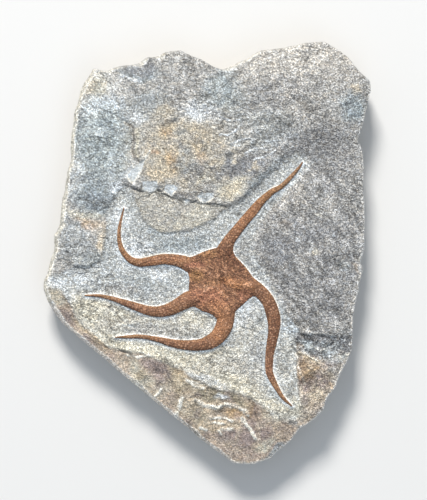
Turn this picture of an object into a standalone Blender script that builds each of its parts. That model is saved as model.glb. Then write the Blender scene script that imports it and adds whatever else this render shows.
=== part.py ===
"""Fossil brittle star lying on its loose slab of silty limestone.

The slab lies flat on its back in the XY plane, with +Z up and its origin at the
centre of its underside.  The star is a thin shell-like body on top of the slab,
split at its main forks into a central disc and five arms.  Each of them lies in
one shared shallow bed cut in the stone.
"""

import math
import random

import bmesh
import bpy
from mathutils import Vector, noise
from mathutils.geometry import delaunay_2d_cdt

MM = 0.001  # every length below is in millimetres

# Heights above the surface that the slab lies on
NATURAL_Z = 17.3      # weathered bedding surface
PREPARED_Z = 16.5     # surface ground away around the star
LIP_Z = 17.0          # rim of the bed, on the low pedestal that carries the star
BED_Z = 15.9          # floor of the bed

# Star
GAP = 0.3             # clearance between any two pieces
STAR_BASE_Z = BED_Z + GAP
EDGE_RISE = 0.15      # side wall of the star above the lip
ARM_CROWN = 0.24      # crown of an arm above its edge, as a share of its width
ARM_CROWN_MIN = 0.2
ARM_PROFILE = (       # share of the width, share of the crown: two rows of plates and a furrow
    (0.0, 0.0), (0.2, 0.72), (0.46, 0.98), (0.5, 0.9), (0.54, 0.98), (0.8, 0.72), (1.0, 0.0),
)
PLATE_PITCH = 2.0     # one arm plate and the groove after it
PLATE_DEPTH = 0.34    # groove between plates, at a full-width part of an arm
FULL_ARM_WIDTH = 5.0
DISC_CENTRE = (5.5, -10.8)
DISC_RISE = 0.6       # disc between its ridges, above its edge
PETAL_RISE = 1.6      # crest of the five ridges that run from the mouth to the arms
PETAL_NARROW = 0.9    # half width of a ridge at the mouth
DISC_STEP = 1.55      # spacing of the corners on the disc
DISC_RINGS = 8
SEAM_STEP = 1.8       # spacing of the corners along the disc's outline
PLATE_BUMPS = 0.12    # roughness of the disc
MOUTH_RADIUS = 2.0
MOUTH_DEPTH = 0.7

# Slab edge: how far the top and the side walls draw in from the widest outline
BEVEL_LEFT = 3.0
BEVEL_RIGHT = 1.2
BEVEL_DROP = 2.6
WALL_RINGS = (        # share of the wall's height, draw-in, and which bedding plane it follows
    (0.80, 0.3, 1), (0.73, 1.3, 1), (0.50, 0.7, 2), (0.44, 1.8, 2), (0.15, 1.7, 3), (0.0, 3.6, 4),
)
PLANE_WAVE = 0.09     # how far a bedding plane wanders, as a share of the wall's height
RIM_STEP = 5.4
TOP_STEP = 4.2
TOP_MARGIN = 1.5       # least distance of a free corner from the edge of the top
STAR_MARGIN = 1.7      # and from the star
BACK_STEP = 12.0
BACK_MARGIN = 3.0
LEDGE_STEP = 1.5       # least distance between two corners on ledges, chips and ridges
STAR_STEP = 2.4        # spacing of the corners on the outline of the bed
GRID_CORNER = (-67, -84)
GRID_SIZE = (135, 170)
ROW_SHARE = 0.87       # spacing of the rows of a triangular grid, as a share of its step

# Widest outline of the slab, clockwise from its upper left tip
RIM = (
    (-43, 69.5), (-37.5, 68.5), (-35.5, 69.5), (-25.5, 71.5), (-23, 73.5), (-18.5, 74),
    (-15.5, 75.5), (-10, 76), (-5.5, 74), (0.5, 71.5), (1.5, 70.5), (5.5, 69), (12.5, 72),
    (15, 73), (17, 74.5), (20, 76), (28, 77), (36.5, 79), (41, 79.5), (43.5, 79.5),
    (47.5, 77.5), (50, 76), (53.5, 73.5), (55, 71), (58, 67.5), (61, 65), (61.5, 62),
    (59.5, 52.5), (57.5, 45), (56.5, 42), (58, 40.5), (59.5, 31), (58.5, 25), (59.5, 18.5),
    (59, 8), (59.5, 5), (59, 0.5), (57.5, -3), (58.5, -6.5), (57.5, -10), (56.5, -15.5),
    (55, -23), (55, -32), (54.5, -36.5), (53, -40), (47.5, -51.5), (45, -55), (43.5, -59),
    (40.5, -62), (34.5, -66.5), (32, -70), (24, -77), (17, -79.5), (14, -79.5), (9.5, -79),
    (7, -77), (-2, -70.5), (-6.5, -66.5), (-21.5, -54.5), (-38.5, -40), (-55, -26),
    (-58.5, -21), (-60.5, -17.5), (-61.5, -14), (-61.5, -10), (-60, -8), (-59, -3.5),
    (-57.5, 1), (-57.5, 6.5), (-55.5, 10), (-54.5, 20), (-52.5, 31), (-51, 35.5),
    (-51.5, 38.5), (-51, 45.5), (-50, 53), (-48.5, 57.5), (-48, 61), (-45.5, 65),
)

# Bedding layers and worked areas of the top face.  Each one sets the height inside
# its outline, over an edge whose width is the layer's own, or the third number of a
# corner where the layer fades out.  A later layer covers an earlier one.
UPPER_LAYER = (
    (-27.5, 47), (-28, 38), (-25, 33), (-26, 30), (-28.5, 25), (-21.5, 23.5), (-19, 24),
    (-14, 21), (-6.5, 19.5), (3, 18), (8, 17), (12.5, 19.5), (20.5, 27.5), (29, 34.5, 2),
    (35, 39, 8), (46, 42, 16), (75, 44, 20), (75, 95, 20), (-65, 95, 20), (-65, 64, 20),
    (-40, 56, 14), (-32, 52, 4),
)
PREPARED_AREA = (
    (-31, 26), (-34, 23), (-36, 19), (-38.5, 8), (-38.5, 1), (-40, -2.5), (-50, -5.5),
    (-62, -9), (-62, -12), (-54.5, -14), (-51.5, -19), (-49, -24.5), (-43, -31.5), (-33.5, -36),
    (-24, -37.5), (-14, -42), (-8.5, -44), (-4.5, -47), (9.5, -52), (20.5, -57), (24.5, -61),
    (30, -62.5), (35.5, -60), (35, -56.5), (34, -45.5), (33.5, -33.5), (35, -29.5), (32, -26),
    (29, -20.5), (26.5, -14.5), (23, -8.5), (19, -2.5), (17, 3), (19, 9.5), (23.5, 16),
    (29, 21.5), (33.5, 26.5), (38.5, 33), (38.5, 37.5), (33.5, 38), (24.5, 31), (16, 22.5),
    (8.5, 17.5), (1, 12), (-9.5, 8), (-16, 7.5), (-20.5, 9.5), (-24, 13), (-28.5, 24),
)
LEFT_PATCH = (
    (-56, 15.5), (-47.5, 16), (-42, 15.5), (-38.5, 13.5), (-38, 8), (-38.5, 1), (-40.5, -2.5),
    (-44.5, -5), (-50, -5), (-53.5, -3.5), (-58, -2),
)
BROKEN_BAND = (
    (-70, -13), (-54.5, -14.2), (-51.5, -19), (-48.8, -24.3), (-43, -31.5), (-33.5, -36),
    (-24, -37.5), (-14, -42), (-8.5, -44), (-4.5, -47), (9.5, -52), (20.5, -57), (24.5, -61),
    (30, -62.5), (36, -61.5), (46, -60), (46, -90), (-70, -90),
)
RECESS = (
    (33.7, -29.4), (36.7, -30.5), (53.5, -31.2), (60, -32.2), (60, -37), (47.9, -39.3),
    (42.3, -40), (38.5, -38.2), (33.3, -34.4),
)
LAYERS = (  # outline, height at its edge and well inside it, width of the edge
    (UPPER_LAYER, NATURAL_Z + 1.0, NATURAL_Z + 1.0, 1.2),
    (BROKEN_BAND, 16.3, 14.6, 1.6),
    (PREPARED_AREA, PREPARED_Z, PREPARED_Z, 2.0),
    (LEFT_PATCH, NATURAL_Z + 0.3, NATURAL_Z + 0.3, 1.4),
    (RECESS, 16.4, 16.4, 1.2),
)
LAYER_REACH = 20.0     # how far in from its edge a layer reaches its inner height
LEDGE_MARGIN = 0.75    # crest and foot of each ledge, either side of its line
SOFT_EDGE = 3.0        # an edge wider than this has no crest or foot
SWELLS = ((0.45, 3, 27), (0.22, 9, 7.5))   # height, place in the noise and size of the broad swells
RIM_DROOP = 1.3        # how much the top falls toward the slab's outline
RIM_REACH = 9.0        # and over what distance
PEDESTAL_WIDTH = 2.2   # how far the slope of the star's pedestal reaches from the star

# Scoops flaked out of the stone: centre, radius and depth
CHIPS = (
    ((-21.5, 24.6), 2.6, 1.0), ((-17.3, 23.9), 1.9, 0.8), ((-13.4, 23.2), 2.4, 1.0),
    ((-8.2, 21.9), 2.0, 0.9), ((-1.4, 20.6), 2.9, 1.0), ((5, -61), 3.6, 1.0),
    ((-22, -49), 3.4, 1.0), ((46, -34.5), 3.2, 1.0), ((38, -33), 2.4, 0.9),
)
CHIP_SIDES = 7
CHIP_RAGGED = 0.5     # how uneven a chip's outline is, as a share of its radius
# Ridges left standing on the broken lower band: crest line, height and half width
RIDGES = (
    (((-4.5, -55.5), (-0.5, -57), (4.5, -57.8), (9.5, -57.4), (13.5, -58.6), (15.5, -61.3)), 0.9, 1.7),
    (((14, -62.7), (16.2, -66.2), (18.4, -69.8)), 0.7, 1.5),
    (((-20, -50.5), (-18.6, -53.2), (-16.5, -55.5)), 0.6, 1.4),
)
BACK_SPALLS = (((-34, 44), 13, 1.3), ((38, 58), 15, 1.6), ((14, -60), 13, 1.4), ((44, -14), 10, 1.0))

# Arms.  "base" is the seam with the disc, left corner first when facing outward;
# "stations" are centre x, centre y and width, out to the tip.
ARMS = {
    "arm_upper_right": {
        "base": ((3.6, 2.1), (9.7, 0.7)),
        "stations": (
            (8.3, 4.9, 4.5), (11.2, 8.7, 3.9), (14.3, 12.5, 3.7), (17.4, 16.1, 3.6),
            (20.4, 19.7, 2.9), (24.3, 23.1, 2.2), (27.5, 24.9, 1.8), (30.4, 27.6, 1.6),
            (34.2, 31.9, 1.0), (35.7, 34.2, 0.5),
        ),
    },
    "arm_lower_right": {
        "base": ((17.0, -8.9), (17.0, -16.1)),
        "stations": (
            (20.2, -14.7, 5.0), (22.9, -18.1, 4.9), (24.4, -22.1, 5.1), (25.1, -25.8, 4.9),
            (24.9, -29.5, 4.2), (24.2, -33.3, 3.8), (23.5, -37.0, 3.3), (23.2, -40.8, 3.0),
            (23.3, -44.5, 2.8), (24.5, -47.5, 2.4), (26.3, -50.9, 1.8), (28.5, -54.3, 1.3),
            (31.8, -57.3, 0.5),
        ),
    },
    "arm_bottom": {
        "base": ((10.5, -21.8), (3.4, -24.4)),
        "stations": (
            (6.7, -25.9, 6.4), (5.6, -28.8, 6.2), (3.7, -31.4, 5.8), (0.7, -33.4, 5.3),
            (-2.7, -34.3, 4.3), (-6.5, -34.5, 3.9), (-10.2, -34.2, 3.4), (-14.0, -33.5, 2.8),
            (-17.7, -32.5, 2.1), (-21.5, -31.7, 1.6), (-25.2, -31.2, 1.5), (-29.0, -31.3, 1.3),
            (-34.5, -31.5, 0.5),
        ),
    },
    "arm_lower_left": {
        "base": ((-5.0, -20.0), (-6.9, -14.1)),
        "stations": (
            (-7.5, -17.5, 6.1), (-10.1, -19.0, 5.4), (-13.1, -20.6, 4.9), (-15.8, -21.5, 4.5),
            (-18.8, -21.9, 4.0), (-22.2, -21.5, 3.5), (-25.9, -20.3, 3.1), (-29.6, -19.0, 2.6),
            (-33.4, -17.7, 1.9), (-37.1, -16.6, 1.5), (-41.0, -15.9, 1.1), (-46.0, -15.8, 0.5),
        ),
    },
    "arm_upper_left": {
        "base": ((-7.3, -7.2), (-6.5, -1.5)),
        "stations": (
            (-10.2, -2.9, 4.6), (-13.2, -2.4, 4.2), (-16.6, -2.2, 3.8), (-19.6, -2.7, 3.7),
            (-22.6, -3.2, 3.4), (-25.6, -3.5, 3.1), (-28.3, -2.7, 2.6), (-30.2, -1.2, 2.2),
            (-31.9, 1.2, 2.0), (-32.8, 3.8, 1.7), (-33.1, 6.8, 1.4), (-32.9, 9.8, 1.2),
            (-32.3, 12.8, 0.9), (-31.2, 17.2, 0.5),
        ),
    },
}

# Free edge of the disc after each arm, in the order of ARMS
DISC_EDGES = (
    ((10.7, -1.3), (12.4, -3.0), (14.6, -5.5), (16.0, -7.3)),
    ((15.3, -17.4), (13.5, -19.1), (11.7, -20.7)),
    ((2.1, -23.2), (0.3, -22.3), (-2.0, -21.6), (-3.6, -20.6)),
    ((-6.9, -12.0), (-6.7, -10.4), (-6.9, -8.6)),
    ((-3.8, -0.5), (-1.6, 0.5), (1.0, 1.4)),
)


# ---------------------------------------------------------------- plane geometry

def lerp(a, b, share):
    return a + (b - a) * share


def smoothstep(value):
    value = max(0.0, min(1.0, value))
    return value * value * (3 - 2 * value)


def segment_distance(x, y, a, b):
    """Distance from a point to the segment a-b."""
    dx, dy = b[0] - a[0], b[1] - a[1]
    share = ((x - a[0]) * dx + (y - a[1]) * dy) / (dx * dx + dy * dy)
    share = max(0.0, min(1.0, share))
    return math.hypot(x - a[0] - dx * share, y - a[1] - dy * share)


def signed_distance(x, y, loop):
    """Distance to a closed outline, negative inside it."""
    nearest = math.inf
    inside = False
    for a, b in zip(loop, loop[1:] + loop[:1]):
        nearest = min(nearest, segment_distance(x, y, a, b))
        if (a[1] > y) != (b[1] > y) and x < a[0] + (b[0] - a[0]) * (y - a[1]) / (b[1] - a[1]):
            inside = not inside
    return -nearest if inside else nearest


def edge_width(x, y, outline, usual):
    """Width of a layer's edge beside a point: the usual one, or that of the nearest corner."""
    corner = min(outline, key=lambda corner: math.dist((x, y), corner[:2]))
    return corner[2] if len(corner) > 2 else usual


def resample(loop, step):
    """Split the long edges of a closed outline so that none is over one step."""
    points = []
    for a, b in zip(loop, loop[1:] + loop[:1]):
        parts = max(1, math.ceil(math.dist(a, b) / step))
        points += [(lerp(a[0], b[0], i / parts), lerp(a[1], b[1], i / parts)) for i in range(parts)]
    return points


def offset(loop, distance):
    """Move a closed clockwise outline outward, with mitred corners."""
    moved = []
    for before, point, after in zip(loop[-1:] + loop[:-1], loop, loop[1:] + loop[:1]):
        into = Vector((point[0] - before[0], point[1] - before[1])).normalized()
        out = Vector((after[0] - point[0], after[1] - point[1])).normalized()
        normal = Vector((-into.y - out.y, into.x + out.x)).normalized()
        cosine = max(0.5, normal.dot(Vector((-into.y, into.x))))
        moved.append((point[0] + normal.x * distance / cosine, point[1] + normal.y * distance / cosine))
    return moved


def draw_in(point, distance):
    """Move a point of the slab's outline toward the slab's middle."""
    share = 1 - distance / math.hypot(*point)
    return (point[0] * share, point[1] * share)


def rough(x, y, z, size):
    """Smooth noise between about -1 and 1, with bumps of the given size."""
    return noise.noise(Vector((x, y, z)) / size)


# ---------------------------------------------------------------- star outlines

def catmull_rom(points, position):
    """Point of a smooth curve through the given points, at a position from 0 to len - 1."""
    index = min(int(position), len(points) - 2)
    t = position - index
    p0 = points[max(index - 1, 0)]
    p1, p2 = points[index], points[index + 1]
    p3 = points[min(index + 2, len(points) - 1)]
    return tuple(
        0.5 * (2 * b + (c - a) * t + (2 * a - 5 * b + 4 * c - d) * t * t + (3 * b - a - 3 * c + d) * t**3)
        for a, b, c, d in zip(p0, p1, p2, p3)
    )


def arm_edges(arm):
    """Left and right edge points of an arm, one pair at its base and at each station."""
    left, right = arm["base"]
    middle = ((left[0] + right[0]) / 2, (left[1] + right[1]) / 2)
    centres = [middle] + [station[:2] for station in arm["stations"]]
    edges = [(left, right)]
    for index, (x, y, width) in enumerate(arm["stations"], start=1):
        ahead = centres[min(index + 1, len(centres) - 1)]
        behind = centres[index - 1]
        along = Vector((ahead[0] - behind[0], ahead[1] - behind[1])).normalized()
        half = width / 2
        edges.append(((x - along.y * half, y + along.x * half), (x + along.y * half, y - along.x * half)))
    return edges


def arm_sections(arm, step):
    """Pairs of edge points at even steps along an arm, from its base to its tip."""
    edges = arm_edges(arm)
    lefts, rights = [pair[0] for pair in edges], [pair[1] for pair in edges]
    fine = 400
    track = []
    for i in range(fine + 1):
        position = (len(edges) - 1) * i / fine
        left, right = catmull_rom(lefts, position), catmull_rom(rights, position)
        track.append((left, right, ((left[0] + right[0]) / 2, (left[1] + right[1]) / 2)))
    lengths = [0.0]
    for a, b in zip(track, track[1:]):
        lengths.append(lengths[-1] + math.dist(a[2], b[2]))
    count = round(lengths[-1] / step)
    sections = []
    for i in range(count + 1):
        target = lengths[-1] * i / count
        index = next(k for k, length in enumerate(lengths) if length >= target - 1e-9)
        sections.append(track[index][:2])
    return sections


def star_outline(step):
    """The whole star's edge, clockwise."""
    outline = []
    for arm, edge in zip(ARMS.values(), DISC_EDGES):
        sections = arm_sections(arm, step)
        outline += [left for left, right in sections]
        outline += [right for left, right in reversed(sections)]
        outline += edge
    return outline


def disc_outline():
    outline = []
    for arm, edge in zip(ARMS.values(), DISC_EDGES):
        outline += list(arm["base"]) + list(edge)
    return outline


# ---------------------------------------------------------------- stone surface

STAR_EDGE = star_outline(STAR_STEP)


def rim_distance(x, y):
    return -signed_distance(x, y, RIM)


def open_stone_height(x, y):
    """Height of the stone away from the star: layers, broad swells, chips and fine roughness."""
    height = NATURAL_Z
    for outline, edge_level, inner_level, usual in LAYERS:
        distance = signed_distance(x, y, outline)
        level = lerp(edge_level, inner_level, smoothstep(-distance / LAYER_REACH))
        height = lerp(height, level, smoothstep(0.5 - distance / edge_width(x, y, outline, usual)))
    for swell, place, size in SWELLS:
        height += swell * rough(x, y, place, size)
    height -= RIM_DROOP * smoothstep(1 - rim_distance(x, y) / RIM_REACH)
    for (cx, cy), radius, depth in CHIPS:
        height -= depth * max(0.0, 1 - (math.hypot(x - cx, y - cy) / radius) ** 2)
    for crest, rise, half_width in RIDGES:
        nearest = min(segment_distance(x, y, a, b) for a, b in zip(crest, crest[1:]))
        height += rise * max(0.0, 1 - nearest / half_width)
    return height


def stone_height(x, y):
    """Height of the stone outside the bed, with the pedestal that rises to the star."""
    to_star = signed_distance(x, y, STAR_EDGE)
    pedestal = smoothstep((PEDESTAL_WIDTH - to_star) / (PEDESTAL_WIDTH - 2 * GAP))
    return lerp(open_stone_height(x, y), LIP_Z, pedestal)


def ledge_points():
    """Crest and foot points of every ledge, and the corners of the chips and ridges."""
    points = []
    for outline, _, _, usual in LAYERS:
        corners = [corner[:2] for corner in outline]
        for side in (-LEDGE_MARGIN, LEDGE_MARGIN):
            points += [
                point for point in resample(offset(corners, side), TOP_STEP)
                if edge_width(*point, outline, usual) < SOFT_EDGE
            ]
    for (cx, cy), radius, _ in CHIPS:
        points.append((cx, cy))
        for k in range(CHIP_SIDES):
            angle = math.tau * k / CHIP_SIDES
            reach = radius * (1 + CHIP_RAGGED * rough(cx + 3 * k, cy, 2, 4))
            points.append((cx + reach * math.cos(angle), cy + reach * math.sin(angle)))
    for crest, _, half_width in RIDGES:
        for a, b in zip(crest, crest[1:]):
            along = Vector((b[0] - a[0], b[1] - a[1])).normalized()
            middle = (lerp(a[0], b[0], 0.5), lerp(a[1], b[1], 0.5))
            points += [a, middle]
            for side in (-half_width, half_width):
                points.append((middle[0] - along.y * side, middle[1] + along.x * side))
        points.append(crest[-1])
    return points


def jittered_grid(step, seed):
    """Points of a triangular grid over the slab, each one moved a little."""
    shuffle = random.Random(seed)
    left, bottom = GRID_CORNER
    width, height = GRID_SIZE
    points = []
    for row in range(int(height / (step * ROW_SHARE))):
        for column in range(int(width / step)):
            x = left + (column + 0.5 * (row % 2)) * step + shuffle.uniform(-0.25, 0.25) * step
            y = bottom + row * step * ROW_SHARE + shuffle.uniform(-0.25, 0.25) * step
            points.append((x, y))
    return points


def spread_out(candidates, spacing, keep):
    """The candidates that pass the test and lie no closer together than the spacing."""
    cells = {}
    kept = []
    for x, y in candidates:
        cell = (math.floor(x / spacing), math.floor(y / spacing))
        around = [(cell[0] + i, cell[1] + j) for i in (-1, 0, 1) for j in (-1, 0, 1)]
        crowded = any(math.dist((x, y), other) < spacing for key in around for other in cells.get(key, ()))
        if not crowded and keep(x, y):
            cells.setdefault(cell, []).append((x, y))
            kept.append((x, y))
    return kept


# ---------------------------------------------------------------- solids

def triangulate(loops, free_points):
    """Delaunay triangles inside the first loop, with every loop kept as edges."""
    points, edges = [], []
    for loop in loops:
        first = len(points)
        count = len(loop)
        edges += [(first + i, first + (i + 1) % count) for i in range(count)]
        points += loop
    points += free_points
    outer = list(range(len(loops[0])))
    result = delaunay_2d_cdt([Vector(point) for point in points], edges, [outer], 1, 1e-5)
    flat, triangles, sources = result[0], result[2], result[3]
    index_of = {}
    for new, olds in enumerate(sources):
        for old in olds:
            index_of[old] = new
    return [tuple(point) for point in flat], [tuple(face) for face in triangles], index_of


def make_material(name, colour, roughness):
    material = bpy.data.materials.new(name)
    material.use_nodes = True
    shader = material.node_tree.nodes["Principled BSDF"]
    shader.inputs["Base Color"].default_value = (*colour, 1)
    shader.inputs["Roughness"].default_value = roughness
    shader.inputs["Metallic"].default_value = 0
    material.diffuse_color = (*colour, 1)
    return material


def add_solid(name, vertices, faces, material, crease):
    """Make one closed object from corners in millimetres; edges past the crease stay sharp."""
    shape = bmesh.new()
    corners = [shape.verts.new(Vector(vertex) * MM) for vertex in vertices]
    for face in faces:
        shape.faces.new([corners[i] for i in face])
    bmesh.ops.triangulate(shape, faces=[face for face in shape.faces if len(face.verts) > 3])
    bmesh.ops.recalc_face_normals(shape, faces=shape.faces)
    mesh = bpy.data.meshes.new(name)
    shape.to_mesh(mesh)
    shape.free()
    mesh.materials.append(material)
    mesh.shade_smooth()
    mesh.set_sharp_from_angle(angle=math.radians(crease))
    solid = bpy.data.objects.new(name, mesh)
    bpy.context.collection.objects.link(solid)
    return solid


def build_slab(material):
    rim = resample(list(RIM), RIM_STEP)

    # Top face: its edge, the bed and everything between
    edge = []
    for x, y in rim:
        bevel = lerp(BEVEL_LEFT, BEVEL_RIGHT, smoothstep((x + 55) / 100))
        edge.append(draw_in((x, y), bevel * (1 + 0.45 * rough(x, y, 0, 6))))
    lip = offset(STAR_EDGE, 2 * GAP)
    floor = offset(STAR_EDGE, GAP)
    foot = offset(STAR_EDGE, PEDESTAL_WIDTH)

    def on_top(x, y):
        clear_of_edge = signed_distance(x, y, edge) < -TOP_MARGIN
        return clear_of_edge and signed_distance(x, y, STAR_EDGE) > STAR_MARGIN

    ledges = spread_out(foot + ledge_points(), LEDGE_STEP, on_top)
    fill = spread_out(ledges + jittered_grid(TOP_STEP, 11), 0.62 * TOP_STEP, on_top)
    free = ledges + [point for point in fill if point not in ledges]
    flat, triangles, index_of = triangulate([edge, lip, floor], free)
    lip_start, floor_start = len(edge), len(edge) + len(lip)
    on_lip = {index_of[lip_start + i] for i in range(len(lip))}
    on_floor = {index_of[floor_start + i] for i in range(len(floor))}
    vertices = []
    for index, (x, y) in enumerate(flat):
        if index in on_floor:
            z = BED_Z
        elif index in on_lip:
            z = LIP_Z
        else:
            z = stone_height(x, y)
        vertices.append((x, y, z))
    faces = list(triangles)

    # Bevelled edge and side walls, one ring of corners at each height
    ring = [index_of[i] for i in range(len(edge))]
    widest_start = len(vertices)
    for (x, y), top in zip(rim, ring):
        drop = BEVEL_DROP * (1 + 0.4 * rough(x, y, 5, 9))
        vertices.append((x, y, vertices[top][2] - drop))
    rings = [ring, list(range(widest_start, len(vertices)))]
    for share, inward, plane in WALL_RINGS:
        start = len(vertices)
        for (x, y), widest in zip(rim, rings[1]):
            pull = inward * (1 + 1.1 * rough(x, y, 60 * share, 11)) + 0.7 * rough(x, y, 0, 3.5)
            level = vertices[widest][2] * (share + PLANE_WAVE * rough(x, y, 20 * plane, 22) * (share > 0))
            vertices.append((*draw_in((x, y), max(0.1, pull)), level))
        rings.append(list(range(start, len(vertices))))
    for upper, lower in zip(rings, rings[1:]):
        for i in range(len(rim)):
            j = (i + 1) % len(rim)
            faces.append((upper[i], upper[j], lower[j], lower[i]))

    # Back face: flat, with shallow spalls
    back_edge = [vertices[i][:2] for i in rings[-1]]

    def on_back(x, y):
        return signed_distance(x, y, back_edge) < -BACK_MARGIN

    back_points = spread_out(jittered_grid(BACK_STEP, 5), 0.5 * BACK_STEP, on_back)
    back, back_triangles, back_index = triangulate([back_edge], back_points)
    placed = {back_index[i]: rings[-1][i] for i in range(len(back_edge))}
    for index, (x, y) in enumerate(back):
        if index not in placed:
            placed[index] = len(vertices)
            rise = 0
            for (cx, cy), radius, depth in BACK_SPALLS:
                rise = max(rise, depth * smoothstep(1.4 - 1.4 * math.hypot(x - cx, y - cy) / radius))
            vertices.append((x, y, rise))
    faces += [tuple(placed[i] for i in face) for face in back_triangles]
    return add_solid("stone_slab", vertices, faces, material, crease=20)


def build_arm(name, arm, material):
    """Loft an arm: a flat underside, upright edges and a crown of plates and grooves."""
    sections = arm_sections(arm, PLATE_PITCH / 2)
    seam, following = (Vector(section[0]) + Vector(section[1]) for section in sections[:2])
    shift = (following - seam).normalized() * GAP
    sections[0] = tuple((point[0] + shift.x, point[1] + shift.y) for point in sections[0])
    vertices, faces = [], []
    for index, (left, right) in enumerate(sections):
        width = math.dist(left, right)
        crown = ARM_CROWN_MIN + ARM_CROWN * width
        groove = PLATE_DEPTH * min(1, width / FULL_ARM_WIDTH) if index % 2 == 0 else 0
        vertices.append((*left, STAR_BASE_Z))
        for across, height in ARM_PROFILE:
            x, y = lerp(left[0], right[0], across), lerp(left[1], right[1], across)
            sunk = groove * min(1, height * 1.6)
            vertices.append((x, y, LIP_Z + EDGE_RISE + crown * height - sunk))
        vertices.append((*right, STAR_BASE_Z))
    around = len(ARM_PROFILE) + 2
    for index in range(len(sections) - 1):
        a, b = index * around, (index + 1) * around
        for k in range(around):
            n = (k + 1) % around
            faces.append((a + k, a + n, b + n, b + k))
    faces.append(tuple(range(around)))
    faces.append(tuple(range(len(vertices) - around, len(vertices))))
    return add_solid(name, vertices, faces, material, crease=12)


def petal_height(x, y):
    """Height of the disc above its edge: five crowned ridges that meet at the mouth."""
    cx, cy = DISC_CENTRE
    radius = math.hypot(x - cx, y - cy)
    rise = DISC_RISE
    for arm in ARMS.values():
        left, right = arm["base"]
        seam = Vector(((left[0] + right[0]) / 2 - cx, (left[1] + right[1]) / 2 - cy))
        along = (x - cx) * seam.x / seam.length + (y - cy) * seam.y / seam.length
        across = abs((x - cx) * seam.y - (y - cy) * seam.x) / seam.length
        half = lerp(PETAL_NARROW, math.dist(left, right) / 2, along / seam.length)
        if along > 0:
            rise = max(rise, PETAL_RISE * (1 - (across / half) ** 2))
    mouth = MOUTH_DEPTH * (1 - smoothstep(radius / MOUTH_RADIUS))
    return rise - mouth + PLATE_BUMPS * rough(x, y, 1, 1.8)


def seam_rise(x, y):
    """Height of the disc's edge above the lip: crowned where an arm joins it, else flat."""
    for arm in ARMS.values():
        left, right = arm["base"]
        to_corner = min(math.dist((x, y), left), math.dist((x, y), right))
        if segment_distance(x, y, left, right) < 0.01 and to_corner > 0.1:
            return petal_height(x, y)
    return 0


def disc_grid():
    """Rings of points about the disc's centre, closer together than on the stone."""
    cx, cy = DISC_CENTRE
    points = [(cx, cy)]
    for ring in range(1, DISC_RINGS + 1):
        radius = DISC_STEP * ring
        count = 5 * max(1, round(math.tau * ring / 5))
        for k in range(count):
            angle = math.tau * (k + 0.5 * (ring % 2)) / count
            points.append((cx + radius * math.cos(angle), cy + radius * math.sin(angle)))
    return points


def build_disc(material):
    edge = resample(disc_outline(), SEAM_STEP)

    def well_inside(x, y):
        return signed_distance(x, y, edge) < -0.6

    free = spread_out(offset(edge, -0.8) + disc_grid(), 0.9, well_inside)
    flat, triangles, index_of = triangulate([edge], free)
    on_edge = {index_of[i] for i in range(len(edge))}
    vertices = []
    for index, (x, y) in enumerate(flat):
        rise = seam_rise(x, y) if index in on_edge else petal_height(x, y)
        vertices.append((x, y, LIP_Z + EDGE_RISE + rise))
    faces = list(triangles)
    ring = [index_of[i] for i in range(len(edge))]
    under = list(range(len(vertices), len(vertices) + len(edge)))
    vertices += [(x, y, STAR_BASE_Z) for x, y in edge]
    for i in range(len(edge)):
        j = (i + 1) % len(edge)
        faces.append((ring[i], ring[j], under[j], under[i]))
    faces.append(tuple(under))
    return add_solid("central_disc", vertices, faces, material, crease=25)


def main():
    for item in list(bpy.data.objects):
        bpy.data.objects.remove(item, do_unlink=True)
    stone = make_material("limestone", (0.42, 0.39, 0.35), 0.9)
    fossil = make_material("iron_stained_calcite", (0.35, 0.15, 0.07), 0.75)
    build_slab(stone)
    build_disc(fossil)
    for name, arm in ARMS.items():
        build_arm(name, arm, fossil)


main()
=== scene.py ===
"""Looks of the fossil brittle star and its limestone slab.

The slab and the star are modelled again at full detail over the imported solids, and each
detailed piece replaces the node that it stands for.  Lengths are millimetres in the part's
own frame until a mesh is made; MM turns them into metres.  Every noise has its own seed.
"""

import itertools
import math

import bmesh
import bpy
import numpy as np
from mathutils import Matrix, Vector, noise
from mathutils.geometry import delaunay_2d_cdt


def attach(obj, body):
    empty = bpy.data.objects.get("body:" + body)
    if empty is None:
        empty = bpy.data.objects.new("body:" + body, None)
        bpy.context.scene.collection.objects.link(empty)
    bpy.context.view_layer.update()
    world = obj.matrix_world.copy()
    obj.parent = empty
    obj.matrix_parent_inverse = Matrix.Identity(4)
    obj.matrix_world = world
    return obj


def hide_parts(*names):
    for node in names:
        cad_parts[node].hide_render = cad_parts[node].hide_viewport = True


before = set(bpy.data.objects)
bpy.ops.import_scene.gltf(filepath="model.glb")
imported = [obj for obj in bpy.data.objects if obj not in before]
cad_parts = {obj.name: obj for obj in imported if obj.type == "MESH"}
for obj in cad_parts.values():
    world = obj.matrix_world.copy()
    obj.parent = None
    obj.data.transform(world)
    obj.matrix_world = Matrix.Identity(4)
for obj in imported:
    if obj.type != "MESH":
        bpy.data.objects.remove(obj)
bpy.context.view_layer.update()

MM = 0.001

# ---------------- shared layout
# Heights above the floor, as in the solids
NATURAL_Z = 17.3
PREPARED_Z = 16.5
STAR_EDGE_Z = 17.15    # edge of the star, and top of the lip that it stands on
DISC_CENTRE = (5.5, -10.8)

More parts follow.
